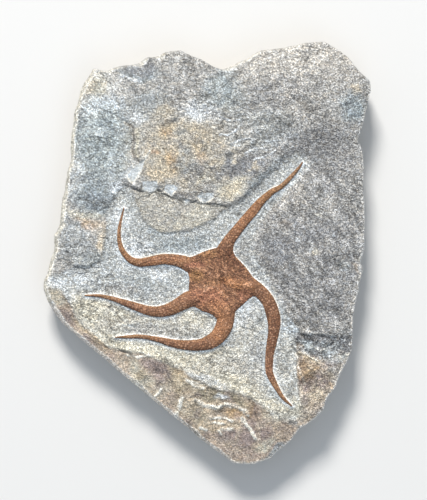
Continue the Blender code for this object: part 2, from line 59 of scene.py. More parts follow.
# Widest outline of the slab, clockwise from its upper left tip
RIM = (
    (-43, 69.5), (-37.5, 68.5), (-35.5, 69.5), (-25.5, 71.5), (-23, 73.5), (-18.5, 74), (-15.5, 75.5),
    (-10, 76), (-5.5, 74), (0.5, 71.5), (1.5, 70.5), (5.5, 69), (12.5, 72), (15, 73), (17, 74.5), (20, 76),
    (28, 77), (36.5, 79), (41, 79.5), (43.5, 79.5), (47.5, 77.5), (50, 76), (53.5, 73.5), (55, 71),
    (58, 67.5), (61, 65), (61.5, 62), (59.5, 52.5), (57.5, 45), (56.5, 42), (58, 40.5), (59.5, 31),
    (58.5, 25), (59.5, 18.5), (59, 8), (59.5, 5), (59, 0.5), (57.5, -3), (58.5, -6.5), (57.5, -10),
    (56.5, -15.5), (55, -23), (55, -32), (54.5, -36.5), (53, -40), (47.5, -51.5), (45, -55), (43.5, -59),
    (40.5, -62), (34.5, -66.5), (32, -70), (24, -77), (17, -79.5), (14, -79.5), (9.5, -79), (7, -77),
    (-2, -70.5), (-6.5, -66.5), (-21.5, -54.5), (-38.5, -40), (-55, -26), (-58.5, -21), (-60.5, -17.5),
    (-61.5, -14), (-61.5, -10), (-60, -8), (-59, -3.5), (-57.5, 1), (-57.5, 6.5), (-55.5, 10), (-54.5, 20),
    (-52.5, 31), (-51, 35.5), (-51.5, 38.5), (-51, 45.5), (-50, 53), (-48.5, 57.5), (-48, 61), (-45.5, 65),
)

# Layers and worked areas of the top: x, y and the width of the edge there
UPPER_LAYER = (
    (-27.5, 47, 1.2), (-27.2, 42.5, 0.9), (-28, 38.5, 0.9), (-27.5, 36, 0.9), (-25, 33.5, 1), (-26, 30, 1),
    (-28.5, 25, 0.8), (-25, 23.8, 0.8), (-21.5, 23.8, 0.8), (-19, 24.2, 0.8), (-16.5, 22.3, 0.8),
    (-14, 21.2, 0.8), (-11, 21, 0.8), (-6.5, 19.7, 0.8), (-1, 19, 1), (3, 18, 1.2), (8, 17.3, 2),
    (12.5, 20, 2.8), (20.5, 28, 3.2), (27, 34, 3.6), (33, 38.5, 8), (46, 42, 18), (75, 44, 22),
    (75, 95, 20), (-65, 95, 20), (-65, 64, 20), (-40, 56, 12), (-32, 51.5, 3),
)
BROKEN_BAND = (
    (-70, -13, 3), (-54.5, -14.2, 1.6), (-51.5, -19, 1.2), (-48.8, -24.3, 1.2), (-46, -28, 1.2),
    (-43, -31.5, 1.2), (-38.5, -34.5, 1.2), (-33.5, -36, 1.4), (-24, -37.5, 1.4), (-19.5, -39.5, 1.4),
    (-14, -42, 1.5), (-8.5, -44, 1.6), (-4.5, -47, 1.6), (2, -50, 1.8), (9.5, -52, 2), (15.5, -54, 2),
    (20.5, -57, 2.2), (24.5, -61, 3), (30, -62.5, 4), (36, -61.5, 5), (46, -60, 6), (46, -90, 6),
    (-70, -90, 6),
)
PREPARED_AREA = (
    (-31, 26, 1.5), (-34, 23, 2), (-36, 19, 2), (-37.5, 14.5, 2), (-38.5, 8, 2), (-38.5, 1, 1.5),
    (-40, -2.5, 1.5), (-44.5, -5, 1.5), (-50, -5.5, 2), (-55, -8, 3), (-64, -9, 4), (-64, -12, 3),
    (-54.5, -14, 3), (-51.5, -19, 3), (-49, -24.5, 3), (-46, -28, 3), (-43, -31.5, 3), (-38.5, -34.5, 3),
    (-33.5, -36, 3.2), (-29, -37, 3.5), (-24, -37.5, 3.5), (-19.5, -39.5, 4), (-14, -42, 4),
    (-8.5, -44, 4), (-4.5, -47, 4), (2, -50, 4.5), (9.5, -52, 4.5), (15.5, -54, 4.5), (20.5, -57, 4.5),
    (24.5, -61, 4.5), (30, -62.5, 4), (33.5, -62.5, 3), (35.5, -60, 3), (35, -56.5, 2.5), (34.2, -52, 2),
    (33.8, -45.5, 1.5), (33.5, -38, 1.5), (33.5, -33.5, 1.5), (35, -29.5, 2), (32, -26, 3), (29, -20.5, 4),
    (26.5, -14.5, 5), (23, -8.5, 6), (19, -2.5, 6), (17, 3, 6), (19, 9.5, 5), (23.5, 16, 4), (29, 21.5, 3),
    (33.5, 26.5, 3), (37, 32.5, 3), (37.5, 36.5, 4), (33.5, 38, 5), (28, 33.5, 3.6), (24.5, 30.5, 3.4),
    (20.5, 27, 3.2), (16, 22.5, 3), (12.5, 19.5, 2.8), (8.5, 17, 2), (5.5, 15.5, 1.4), (1, 12, 1.2),
    (-4, 9.5, 1.2), (-9.5, 8, 1), (-16, 7.5, 1), (-20.5, 9.5, 1.2), (-24, 13, 1.5), (-26.5, 17.5, 2),
    (-27.5, 21.5, 2), (-28.5, 24, 2),
)
LEFT_PATCH = (
    (-58, 15.5, 0.8), (-47.5, 16, 0.8), (-42, 15.5, 1), (-38.5, 13.5, 1.5), (-38, 8, 2), (-38.5, 1, 2),
    (-40.5, -2.5, 1), (-44.5, -5, 0.9), (-50, -5, 0.9), (-53.5, -3.5, 1), (-60, -1, 1.5),
)
RECESS = (
    (33.7, -29.4, 1.6), (36.7, -30.5, 1.6), (42.3, -30.8, 1.8), (53.5, -31.2, 2.2), (62, -32.2, 2),
    (62, -36, 2), (51.7, -38, 2.5), (47.9, -39.3, 2), (42.3, -40, 1.6), (38.5, -38.2, 1.2),
    (34.8, -36.3, 1), (33.3, -33.4, 0.9),
)
# Outline, height at its edge and well inside it, in the order in which they cover each other
LAYERS = {
    "upper": (UPPER_LAYER, NATURAL_Z + 1.0, NATURAL_Z + 1.0),
    "band": (BROKEN_BAND, 16.3, 14.6),
    "prepared": (PREPARED_AREA, PREPARED_Z, PREPARED_Z),
    "patch": (LEFT_PATCH, NATURAL_Z + 0.3, NATURAL_Z + 0.3),
    "recess": (RECESS, 16.4, 16.4),
}

# Arms: seam with the disc, left corner first facing outward, then centre x, y and width
ARMS = {
    "arm_upper_right": {
        "base": ((3.6, 2.1), (9.7, 0.7)),
        "stations": (
            (8.3, 4.9, 4.5), (11.2, 8.7, 3.9), (14.3, 12.5, 3.7), (17.4, 16.1, 3.6), (20.4, 19.7, 2.9),
            (24.3, 23.1, 2.2), (27.5, 24.9, 1.8), (30.4, 27.6, 1.6), (34.2, 31.9, 1), (35.7, 34.2, 0.4),
        ),
    },
    "arm_lower_right": {
        "base": ((17, -8.9), (17, -16.1)),
        "stations": (
            (20.2, -14.7, 5), (22.9, -18.1, 4.9), (24.4, -22.1, 5.1), (25.1, -25.8, 4.9),
            (24.9, -29.5, 4.2), (24.2, -33.3, 3.8), (23.5, -37, 3.3), (23.2, -40.8, 3),
            (23.3, -44.5, 2.8), (24.5, -47.5, 2.4), (26.3, -50.9, 1.8), (28.5, -54.3, 1.3),
            (31.8, -57.3, 0.4),
        ),
    },
    "arm_bottom": {
        "base": ((10.5, -21.8), (3.4, -24.4)),
        "stations": (
            (6.7, -25.9, 6.4), (5.6, -28.8, 6.2), (3.7, -31.4, 5.8), (0.7, -33.4, 5.3),
            (-2.7, -34.3, 4.3), (-6.5, -34.5, 3.9), (-10.2, -34.2, 3.4), (-14, -33.5, 2.8),
            (-17.7, -32.5, 2.1), (-21.5, -31.7, 1.6), (-25.2, -31.2, 1.5), (-29, -31.3, 1.3),
            (-34.5, -31.5, 0.4),
        ),
    },
    "arm_lower_left": {
        "base": ((-5, -20), (-6.9, -14.1)),
        "stations": (
            (-7.5, -17.5, 6.1), (-10.1, -19, 5.4), (-13.1, -20.6, 4.9), (-15.8, -21.5, 4.5),
            (-18.8, -21.9, 4), (-22.2, -21.5, 3.5), (-25.9, -20.3, 3.1), (-29.6, -19, 2.6),
            (-33.4, -17.7, 1.9), (-37.1, -16.6, 1.5), (-41, -15.9, 1.1), (-46, -15.8, 0.4),
        ),
    },
    "arm_upper_left": {
        "base": ((-7.3, -7.2), (-6.5, -1.5)),
        "stations": (
            (-10.2, -2.9, 4.6), (-13.2, -2.4, 4.2), (-16.6, -2.2, 3.8), (-19.6, -2.7, 3.7),
            (-22.6, -3.2, 3.4), (-25.6, -3.5, 3.1), (-28.3, -2.7, 2.6), (-30.2, -1.2, 2.2),
            (-31.9, 1.2, 2), (-32.8, 3.8, 1.7), (-33.1, 6.8, 1.4), (-32.9, 9.8, 1.2), (-32.3, 12.8, 0.9),
            (-31.2, 17.2, 0.4),
        ),
    },
}
# Free edge of the disc after each arm
DISC_EDGES = (
    ((10.7, -1.3), (12.4, -3), (14.6, -5.5), (16, -7.3)),
    ((15.3, -17.4), (13.5, -19.1), (11.7, -20.7)),
    ((2.1, -23.2), (0.3, -22.3), (-2, -21.6), (-3.6, -20.6)),
    ((-6.9, -12), (-6.7, -10.4), (-6.9, -8.6)),
    ((-3.8, -0.5), (-1.6, 0.5), (1, 1.4)),
)

# ---------------- fine relief of the stone
# Fresh facets broken out of the ledges: outline, height at its south end and at its north end
FACETS = (
    (((-24.1, 26.9), (-18.7, 27), (-18.7, 24.5), (-19.6, 23.3), (-21.5, 22.2), (-24.1, 23.7)), 17.8, 18.1),
    (((-15.5, 25.8), (-12.5, 25.8), (-11, 24.4), (-13.4, 21.3), (-15.1, 22.4), (-16.4, 23.3)), 17.7, 18.1),
    (((-8.7, 20), (-7.6, 20.4), (-6.5, 19.8), (-6.8, 18.8), (-8.5, 18.7)), 17.5, 17.7),
    (((-2.7, 22.6), (2.2, 22.8), (2.7, 21.1), (1.4, 19.6), (-0.8, 18.8), (-3.1, 20), (-3.7, 21.3)), 17.7,
     18.1),
    (((-23, 35.6), (-24.8, 30.8), (-27.4, 26.2), (-29.2, 26.8), (-30.2, 29.6), (-28, 32.2), (-25.8, 33.8)),
     17.1, 17.5),
)
# Hollows: centre, radius, depth
HOLLOWS = (
    ((5, -61), 3.2, 0.8), ((-22, -49), 3, 0.8), ((46, -34.5), 3, 0.8), ((38, -33), 2.4, 0.7),
    ((50, -36), 2.2, 0.6), ((-17.5, 23.8), 1.5, 0.7), ((37.5, -37), 1.2, 0.5),
)
# Standing ridges and flakes: crest line, height, half width, how fresh the crest is
RIDGES = (
    (((-4.5, -55.1), (-1.4, -57), (4, -58), (6.6, -56.6), (10.4, -57.4), (13.9, -58.9), (15.2, -60.8)),
     0.9, 1.25, 1.2),
    (((13.3, -62), (15.7, -65.6), (18.1, -69.7)), 0.9, 1.1, 1.2),
    (((-19.4, -53.7), (-17.4, -51)), 0.5, 0.9, 0.9),
    (((-12, -60.7), (-10.5, -57.5), (-9.4, -54.4)), 0.7, 1.5, 1),
    (((1.3, -61.8), (6.6, -61.8), (9.3, -63.1)), 0.5, 1, 0.9), (((4.3, -66.6), (5.3, -68.1)), 0.5, 0.8, 1),
    (((5.1, -66.2), (9.7, -66)), 0.5, 0.9, 1), (((-2.6, -65.8), (-0.3, -66.4)), 0.5, 1, 1),
    (((2, -63.6), (6.5, -64.4)), 0.4, 0.9, 0.8), (((-7.9, -47.6), (-5, -49.8), (-1.5, -50.6)), 0.4, 1, 1),
    (((-30, -38.3), (-26.4, -38.9), (-22, -38.3)), 0.3, 0.9, 0.9),
    (((4.6, 51.4), (7.2, 49.9), (12.6, 49.6)), 0.26, 0.6, 0.8),
    (((4.9, 44.5), (7.6, 44.3), (10.3, 45.5), (13.1, 48.4)), 0.3, 0.6, 1),
    (((8.8, 41.1), (13.7, 42.6), (17.9, 43)), 0.26, 0.7, 1),
    (((8.8, 41.1), (10.3, 40.1), (12.2, 40.3)), 0.24, 0.45, 0.8),
    (((14.1, 37.6), (17.5, 39.2), (20.6, 39.4)), 0.26, 0.6, 1),
    (((17.5, 35.2), (22.1, 36.7), (25.6, 38.6)), 0.26, 0.6, 1),
    (((20.2, 41.9), (25, 42.3), (29.8, 42.2)), 0.2, 0.5, 0.5),
    (((29.4, 38.8), (32.1, 39.8)), 0.2, 0.45, 0.6), (((25.6, 49.6), (29, 49.6)), 0.2, 0.6, 0.5),
    (((36.5, 32), (35, 28), (33, 23.5), (30.5, 20.5)), 0.16, 0.6, 0.3),
    (((36.3, -37), (38.5, -38.9), (41.5, -40.4)), 0.35, 0.6, 0.8),
    (((36, -28.9), (39.5, -29.7), (44, -30.3)), 0.15, 0.5, 0.6),
    (((40.5, -35.8), (42.3, -36.6), (44, -36)), 0.3, 0.6, 0.7),
    (((-54.5, 15.2), (-49, 15.6), (-44, 15.7)), 0.2, 0.7, 0.5),
    (((-32.5, 66.8), (-28.5, 65.2), (-25, 64.1)), 0.3, 0.9, 0.7),
    (((24.6, 5.7), (27, 2.5), (29, -0.4)), 0.15, 0.5, 0.5),
    (((-33.8, 34.6), (-29.4, 41.3)), 0.15, 0.5, 0.5),
    (((-21.6, 38.3), (-23.6, 34.6), (-24.9, 30.4), (-27, 26.6)), 0.3, 0.7, 0.4),
    (((-6, -48.2), (0, -49.4), (6, -51.2)), 0.25, 1, 0.6), (((22.5, -57.5), (26, -60)), 0.2, 0.9, 0.6),
)
# Cracks and undercut feet of ledges: line, depth, half width
CRACKS = (
    (((-32.5, 25.6), (-29.7, 25.2), (-26.5, 23.7), (-24.1, 23)), 0.35, 0.6),
    (((-19, 23.9), (-17, 23.2)), 0.7, 0.5),
    (((-15.5, 22), (-13.4, 20.9), (-11, 20.2), (-8.7, 18.5)), 0.6, 0.4),
    (((-6.5, 19), (-3.4, 19.6)), 0.5, 0.4), (((-0.8, 18.5), (4.4, 18.1), (7.2, 17.3)), 0.7, 0.45),
    (((-41, 54.8), (-37, 52.8), (-33.8, 51.3), (-30.5, 49)), 0.25, 0.45),
    (((-30.5, 49), (-27.7, 47), (-27.3, 42.5), (-27.9, 37.5), (-25.8, 34.5)), 0.2, 0.5),
    (((35, -30.6), (36.8, -30.9)), 0.5, 0.5), (((41.7, -31.1), (43.8, -31)), 0.5, 0.4),
    (((33, -33.9), (33.9, -35.3), (35.2, -36.2)), 0.4, 0.5), (((39.4, -34.6), (41.5, -33.3)), 0.5, 0.6),
    (((33.2, -36.2), (34.3, -37.6), (35.6, -38.3)), 0.5, 0.6), (((44.5, -35.5), (47, -34)), 0.5, 0.6),
    (((-53.6, -2), (-50.7, -4.6), (-46.2, -5.9), (-41.6, -5.6)), 0.2, 0.45),
    (((12.5, -27.5), (17, -29), (20.5, -30.5)), 0.3, 0.45),
    (((-16, -42.5), (-14.5, -47), (-11.5, -50.5)), 0.4, 0.5),
    (((17, -56), (18.2, -61), (20, -65)), 0.3, 0.5),
    (((31.6, -63.4), (32.6, -64.4), (32, -66)), 0.25, 0.5),
    (((38, -43), (41.5, -46.5), (41, -51)), 0.3, 0.5),
    (((-33.8, -35.9), (-31.1, -37.3), (-28.4, -38.3)), 0.5, 0.7), (((34.8, 18.7), (35, 13.7)), 0.25, 0.4),
    (((-48.2, 57.1), (-46.3, 52.4)), 0.3, 0.4),
    (((-51.5, -19.5), (-48.5, -23.5), (-46.5, -27.5), (-43.8, -31), (-38, -34.8)), 0.25, 0.4),
    (((-19, 60.8), (-19, 50)), 0.15, 0.5),
)
# how deep a crack is sets the painted shade laid in it; at this depth it is full
OPEN_CRACK = 0.4       # cracks at least this deep look fully dark
# Roughness of each kind of ground: height, bump size, seed and octaves of its noises
ROUGHNESS = {
    "band": ((0.6, 5.0, 21, 3), (0.2, 1.6, 22, 3)),
    "recess": ((0.45, 2.4, 23, 3), (0.3, 1.2, 28, 3)),
    "natural": ((0.13, 3.4, 24, 3), (0.15, 1.25, 25, 2)),
    "prepared": ((0.05, 3.0, 26, 3), (0.06, 1.2, 27, 2)),
}
TOOL_MARKS = (4, 4, 1.1, 29)   # direction, stretch, size and seed of the marks on worked ground
TOOL_DEPTH = 0.06
# Drawn-out fabric: centre, half width, half height, direction, stretch, size, relief, contrast
FABRICS = (
    ((18, 44), 17, 9, 14, 4.5, 1.7, 0.2, 0.6), ((42, 0), 20, 34, -52, 3.5, 1.2, 0.14, 0.68),
    ((-15, -27), 26, 8, 0, 4, 0.9, 0.11, 0.48), ((0, -44), 30, 8, -20, 4, 0.9, 0.09, 0.4),
    ((30, 19), 5, 12, 50, 5, 1.5, 0.1, 0.6), ((-35, -42), 30, 12, -40, 3, 2.4, 0.16, 0.52),
    ((-42, 60), 12, 12, -40, 3, 1.6, 0.16, 0.44), ((32, 64), 34, 14, 30, 2.5, 1.4, 0.12, 0.44),
    ((-20, 66), 20, 10, 75, 2.5, 1.6, 0.12, 0.44), ((-40, 35), 12, 18, 35, 2.5, 1.6, 0.09, 0.32),
    ((-25, -8), 32, 14, 8, 2.5, 0.9, 0.07, 0.3), ((40, -50), 12, 12, 60, 2.5, 2.2, 0.2, 0.6),
)

# ---------------- colours
# sRGB bytes, as a flat face shows them under the studio light
PALETTE = {
    "grey": (174, 173, 170), "warm": (157, 156, 154), "dark": (138, 139, 141),
    "slate": (151, 160, 164), "blue": (177, 186, 187), "buff": (203, 198, 190),
    "cream": (214, 209, 192), "tan": (192, 184, 168), "ochre": (204, 189, 163),
    "amber": (200, 172, 136), "rust": (182, 140, 106), "white": (224, 229, 232),
    "prepared": (185, 188, 187), "chalk": (205, 201, 189), "brown": (172, 159, 144),
    "mauve": (152, 139, 135), "recess": (122, 123, 126), "lobe": (187, 184, 175),
    # lip is painted highlight on edges; halo also tints the apron round the star, more on its south side
    # as painted shade
    "halo": (212, 221, 227), "lip": (255, 253, 246), "fresh": (242, 239, 228),
    # crack is the dark of the painted shade in cracks and under ledges, and of some dark stains
    "crack": (80, 80, 82), "facet": (211, 218, 222), "wall": (172, 162, 146),
    "olive": (142, 136, 120), "bandtan": (206, 193, 172), "soil": (154, 133, 110),
    "blush": (185, 170, 154),
    # the fossil
    "calcite": (149, 110, 85), "orange": (188, 134, 94), "umber": (104, 70, 52),
    "pink": (220, 182, 158), "gold": (162, 121, 80), "rose": (184, 126, 100),
    "straw": (176, 144, 108),
}
# Soft stains: colour, centre, half width and half height, turn in degrees, strength
UNWORKED_STAINS = (
    # top and upper right
    ("buff", 33, 72, 22, 7, 5, 0.5), ("buff", 52, 69, 7.5, 7.5, 0, 0.4), ("grey", 37, 58, 20, 6, 8, 0.5),
    ("dark", 38, 42, 18, 5.4, 6, 0.7), ("dark", 46, 36, 11, 5, -20, 0.5),
    ("slate", 6, 62, 5, 6.5, 0, 0.75), ("slate", -25, 67.3, 6.5, 2.6, -8, 1),
    ("dark", -25, 68.5, 6, 2.4, -8, 0.8), ("slate", -22, 55, 7, 5, 0, 0.5),
    ("warm", 7, 55, 7.5, 3.6, 0, 0.3), ("slate", 55, 54, 4.4, 5, 0, 1),
    ("ochre", 56.2, 61.4, 1.4, 1.6, 0, 0.5), ("dark", 27, 61.5, 10, 4.6, 0, 0.5),
    ("blue", 6, 59, 7, 8, 0, 0.5), ("blue", 20, 46, 12, 7, 10, 0.35),
    ("cream", -43, 60, 5.5, 8, -20, 0.75), ("blush", -46, 62, 2.4, 4, -20, 0.35),
    ("white", -39, 53.7, 9, 5, -10, 1), ("warm", 34, 61, 12, 3, 0, 0.4), ("buff", 35, 54, 4, 3, 0, 0.4),
    # left side
    ("blue", -39, 42, 11, 13, 0, 0.9), ("slate", -36, 43, 6, 6, -20, 0.35),
    ("slate", -48, 46, 4.5, 4.5, 0, 0.35), ("slate", -43, 34, 5, 5, 0, 0.3),
    ("slate", -41, 20.5, 9, 5, -14, 1), ("dark", -41, 20.5, 6.5, 3.4, -14, 0.4),
    ("slate", -42, 27, 9, 4, -10, 0.6), ("white", -50, 29, 3, 8, 0, 0.3),
    ("white", -28.2, 29.6, 2.5, 3.6, -30, 0.6), ("white", -33, 16, 3, 5, 0, 0.5),
    ("slate", -33, 31, 3, 3, 0, 0.5), ("white", -33, 22.8, 3, 4, 35, 0.9), ("slate", -49, 5, 6, 7, 0, 0.4),
    ("amber", -43.5, 11.3, 5.2, 1.7, -25, 0.6), ("ochre", -40.5, 5.5, 1.5, 4.6, -12, 0.75),
    ("rust", -44.5, 10.8, 2, 0.8, -25, 0.35), ("white", -45.3, 8.3, 1, 1.2, 0, 0.8),
    ("buff", -41, 8.5, 4, 4, 0, 0.5), ("cream", -47, 15, 7.5, 1, 0, 0.6),
    ("blue", -37.8, 3, 1.5, 4.8, 0, 0.9), ("buff", -33, 1, 3, 5, 0, 0.45), ("blue", -44, -3, 5, 3, 0, 0.5),
    # crescent above the star
    ("tan", -9, 40, 17, 13, 0, 0.75), ("ochre", -14.3, 45, 3.4, 2.8, 0, 0.8),
    ("amber", -14.5, 45.6, 2, 1.6, 0, 0.75), ("ochre", -20, 39, 2.6, 3, 0, 0.5),
    ("ochre", -13, 34.6, 3.6, 4.6, 0, 0.8), ("amber", -12.8, 34.2, 2.4, 3.4, 0, 0.75),
    ("ochre", -3, 39, 3.4, 3, 0, 0.6), ("rust", -2.7, 36.2, 1.8, 2.2, 0, 0.3),
    ("rust", -19.7, 37.4, 1.3, 1, 0, 0.5), ("ochre", -18, 29.5, 4, 2.2, 0, 0.6),
    ("slate", -8, 39, 2.4, 3.2, 0, 0.55), ("slate", -7, 33, 4, 3, 10, 0.5),
    ("dark", -5, 30.3, 4, 2.2, 10, 0.5), ("buff", -11, 39, 4, 3, 0, 0.4),
    ("warm", 5.5, 38.5, 3.6, 3, 0, 0.5), ("dark", 12, 46, 6, 3, 0, 0.35),
    ("dark", 13, 32.5, 8, 3, 12, 0.9), ("dark", 19.5, 31, 4, 2.4, 40, 0.5),
    ("crack", -13, 49.4, 3.2, 0.9, 18, 0.75), ("dark", -19.6, 40.4, 1.6, 0.8, 20, 0.6),
    ("cream", 10, 24.5, 5.6, 3, 38, 0.9), ("ochre", 9.5, 23.6, 4, 2.2, 38, 0.5),
    ("cream", 0, 27, 3.4, 1.8, 0, 0.6), ("white", -2.5, 53, 6.5, 3.6, -12, 0.9),
    ("white", -25, 51, 2.6, 1.5, -20, 0.75), ("tan", -15, 53, 4.5, 1.6, 10, 0.5),
    ("crack", -8.4, 22.4, 2.8, 1.1, -12, 0.7),
    # groove beside the upper right arm, darkened as painted shade, and the strip on its other side,
    # lightened as painted light
    ("slate", 21, 27.9, 10, 1.5, 43, 0.7), ("buff", 31, 20.5, 13, 3.2, 52, 0.8),
    ("halo", 36, 31, 5, 1.2, 55, 0.5),
    # right side
    ("warm", 42, -1, 18, 31, 0, 0.85), ("grey", 47, 22, 11, 8, -15, 0.6),
    ("warm", 25, 3, 5.5, 12, 0, 0.75), ("dark", 38, 8.5, 10, 4, -10, 0.65),
    ("dark", 27, 1.5, 4.5, 5, 0, 1), ("grey", 42, 17, 6, 5, 0, 1), ("grey", 50, 1.5, 11, 3.6, 0, 0.5),
    ("dark", 33.5, -9.5, 6, 6, 0, 0.45), ("grey", 38, -6, 6, 3, 0, 0.4), ("dark", 47, 6, 9, 10, 0, 0.35),
    ("dark", 47, -9, 9, 8, 0, 0.5), ("dark", 43, -22, 7, 4.5, 0, 0.6),
    ("slate", 51.5, -4.5, 2, 1.6, -40, 0.6), ("buff", 57, -21, 4, 4, 0, 0.5),
    ("dark", 43, 27, 6, 6, 0, 0.5), ("buff", 34.8, 20, 3, 5, 0, 0.4),
    ("brown", 29.5, 10.5, 1.3, 1.2, 0, 0.35), ("brown", 56, -6, 0.8, 2.4, 0, 0.5),
    ("white", 57.6, -7.3, 0.9, 2.4, 0, 0.8), ("cream", 41.7, 14, 0.9, 0.9, 0, 0.7),
    ("white", 39, 4.6, 0.9, 0.9, 0, 0.9), ("white", 33.3, 6.1, 0.6, 0.6, 0, 0.9),
    ("white", 39, 1.8, 0.7, 0.5, 0, 0.8), ("cream", 41, 1, 1.3, 1.1, 0, 0.6),
    ("white", 47.2, 6.7, 0.5, 0.5, 0, 0.7),
    # broken band and lower right
    ("cream", -57, -16.5, 3.5, 2.5, -30, 0.8), ("mauve", -53, -24, 4, 2.2, -45, 0.8),
    ("tan", -58, -16, 3, 2.6, -30, 0.8), ("ochre", -47, -27, 3.4, 1.1, -42, 1),
    ("mauve", -46, -32.5, 3, 1.6, -42, 0.8), ("blush", -36, -39.5, 8, 4, -40, 0.9),
    ("cream", -27.2, -43.5, 2.2, 4, 8, 0.9), ("mauve", -22.5, -41.3, 3.4, 2.2, -20, 0.85),
    ("mauve", -18.8, -44.5, 2.8, 5.5, 20, 0.85), ("cream", -17, -51.5, 3, 3, 20, 0.5),
    ("cream", -24.5, -48.5, 3.6, 3, -40, 0.9), ("ochre", -42, -31, 5, 1.3, -38, 0.6),
    ("ochre", -25.5, -45.5, 2, 2, 0, 0.7), ("ochre", -11.7, -47, 2.6, 6.5, 20, 1),
    ("olive", -15, -45, 1.2, 5, 15, 0.4), ("soil", -12, -44, 1.8, 2, 0, 0.5),
    ("olive", -6, -49, 3.4, 1.8, -30, 0.7), ("bandtan", -5, -58.5, 7, 4, -30, 0.9),
    ("olive", 2.5, -53.3, 8, 2.4, -10, 1), ("olive", 12.5, -56, 5, 1.5, -20, 1),
    ("white", 5.4, -54.8, 2.8, 1, -12, 1), ("amber", 10.2, -60.3, 3.6, 1.8, 5, 1),
    ("soil", 18, -61, 2.3, 4.6, 12, 0.9), ("ochre", 20.5, -58.5, 1.4, 3, 10, 0.4),
    ("olive", -3, -60.5, 4, 2, 20, 0.5), ("ochre", 4, -65, 6, 3, 0, 0.5),
    ("mauve", 13.5, -68.8, 8.5, 2.2, 0, 1), ("mauve", 7, -71, 3, 3, 0, 0.6),
    ("mauve", 24, -66.5, 5, 2, 25, 0.4), ("bandtan", 7.5, -72.5, 4.6, 2.4, -35, 0.5),
    ("mauve", 13, -74, 10, 3.6, 0, 0.5), ("cream", 21.5, -72.6, 3, 1.6, 20, 1),
    ("slate", 26, -74.5, 4, 1.1, 38, 0.9), ("slate", 31.5, -64.6, 1.8, 1.2, 0, 0.8),
    ("cream", 30, -59.5, 8.5, 3.4, 18, 1), ("blush", 29, -67, 4, 2, 38, 0.6),
    ("brown", 42, -47, 9, 11, 0, 0.9), ("mauve", 18.5, -66.3, 5, 3, 0, 0.8),
    ("olive", -10, -51.5, 2.6, 3, 0, 0.4), ("soil", 37.3, -41, 2.4, 3.4, 25, 0.6),
    ("mauve", 42.5, -46.5, 3.6, 2.6, -30, 0.9), ("soil", 35.5, -44, 3.2, 4.8, 0, 1),
    ("mauve", 36, -51, 1.8, 3, 0, 0.8), ("bandtan", 40.5, -52.5, 3.6, 3, 20, 0.8),
    ("mauve", 35.5, -55.5, 2, 2, 0, 0.5), ("blush", 38.5, -57.5, 4, 2.4, 35, 0.7),
    ("grey", 47.5, -44, 2.4, 4.5, 25, 0.7), ("blue", 49.5, -39.7, 5, 1.2, 0, 0.5),
    # the crack-coloured stain at 37, -32.3 is painted shadow under the recess's north ledge
    ("dark", 50, -36, 4, 1.6, 0, 0.6), ("crack", 37, -32.3, 2.8, 1.3, 0, 0.8),
    ("slate", 42, -35.5, 7.5, 2.6, -8, 0.8), ("blue", 37.3, -34.3, 2.6, 1.3, -25, 0.7),
    ("brown", 34, -34.8, 1, 1.4, 30, 0.7),
)
WORKED_STAINS = (
    ("halo", 32.5, -27, 3.4, 2.6, 0, 0.8), ("grey", -33, -14.3, 6, 2.6, 0, 0.75),
    ("white", -49, -8.5, 6, 3, 0, 0.45), ("white", -47.5, -20.5, 4, 3, -45, 0.8),
    ("slate", -24, -11, 7, 3, 5, 0.4), ("warm", 14, 0, 4, 6, 0, 0.5), ("warm", 26, -14, 4, 4, 0, 0.4),
    ("white", -30, -5, 8, 2.5, 0, 0.3), ("slate", -10, 3, 9, 3, 3, 0.7),
    ("slate", -17.5, 8.5, 4, 3, 0, 0.5), ("white", -27.5, 1, 6.5, 4, 0, 0.75),
    ("white", -33, 13, 3.4, 6, 0, 0.6), ("chalk", -14, -26, 20, 5, 0, 0.7),
    ("warm", -24, -29, 15, 1.8, 0, 0.5), ("chalk", -40, -23, 11, 6.5, 0, 1),
    ("chalk", 14, -29, 5.2, 8.2, 0, 0.5), ("chalk", -3, -42, 24, 6, -12, 0.9),
    ("chalk", 31, -46, 3.8, 15, 0, 0.3), ("cream", 31, -58.5, 5, 4, 0, 0.8),
    ("cream", -40.8, -21, 2.2, 2.2, 0, 0.7), ("cream", -32, -23, 4, 2, 0, 0.5),
    ("slate", -29.7, -27.9, 2.8, 0.6, 0, 0.6), ("white", -56, -11.5, 3.4, 1.6, -20, 0.6),
    ("white", -51, -17.5, 3, 2.6, 0, 0.7), ("cream", 22, -56.5, 6, 3, -35, 0.9),
    ("warm", 19.5, -37, 3.4, 4, 0, 0.5), ("grey", 14, -44, 6, 3, 0, 0.45),
    ("cream", -34, -34, 9, 3, -25, 1), ("cream", -16, -38.5, 13, 3.6, -12, 1),
    ("cream", 9, -49, 11, 3.6, -15, 1), ("white", 0, -48.5, 7, 1.4, -13, 0.6),
    ("cream", -46, -20.5, 6, 4, -45, 1), ("white", -18, -8, 4, 2.6, 0, 0.6),
    ("white", 12, -23, 5, 4, 0, 0.6), ("cream", -4, -23.5, 4.5, 3, 0, 0.7),
    ("cream", -1, -37, 12, 2.4, 0, 0.6),
)
# Coloured lines: colour, points, half width, strength
STREAKS = (
    ("fresh", ((-21.6, 38.3), (-23.6, 34.6), (-24.9, 30.4), (-27.4, 26)), 0.5, 0.9),
    ("soil", ((-30.5, 49), (-27.6, 47.3), (-27.3, 43), (-27.9, 39), (-27.3, 36)), 0.7, 0.35),
    ("cream", ((-26.2, 46.5), (-25.9, 42), (-26.5, 38), (-25.5, 36)), 0.6, 0.8),
    ("white", ((35.9, 17.7), (39.4, 15.7), (40.7, 15.7)), 0.5, 0.6),
    ("amber", ((-45.8, -28.6), (-40.8, -32.9), (-37.8, -35.6)), 0.7, 0.6),
    ("fresh", ((33.7, -37), (33.9, -40.8), (35, -45), (36.5, -49)), 0.4, 0.5),
    ("ochre", ((34.2, -37.2), (38, -39.2), (41.5, -40.8)), 0.8, 0.8),
    ("amber", ((34.7, -45.8), (38, -44), (41.5, -42.5)), 0.5, 0.7),
    ("amber", ((46, -48.5), (47.5, -51)), 0.5, 0.6),
)
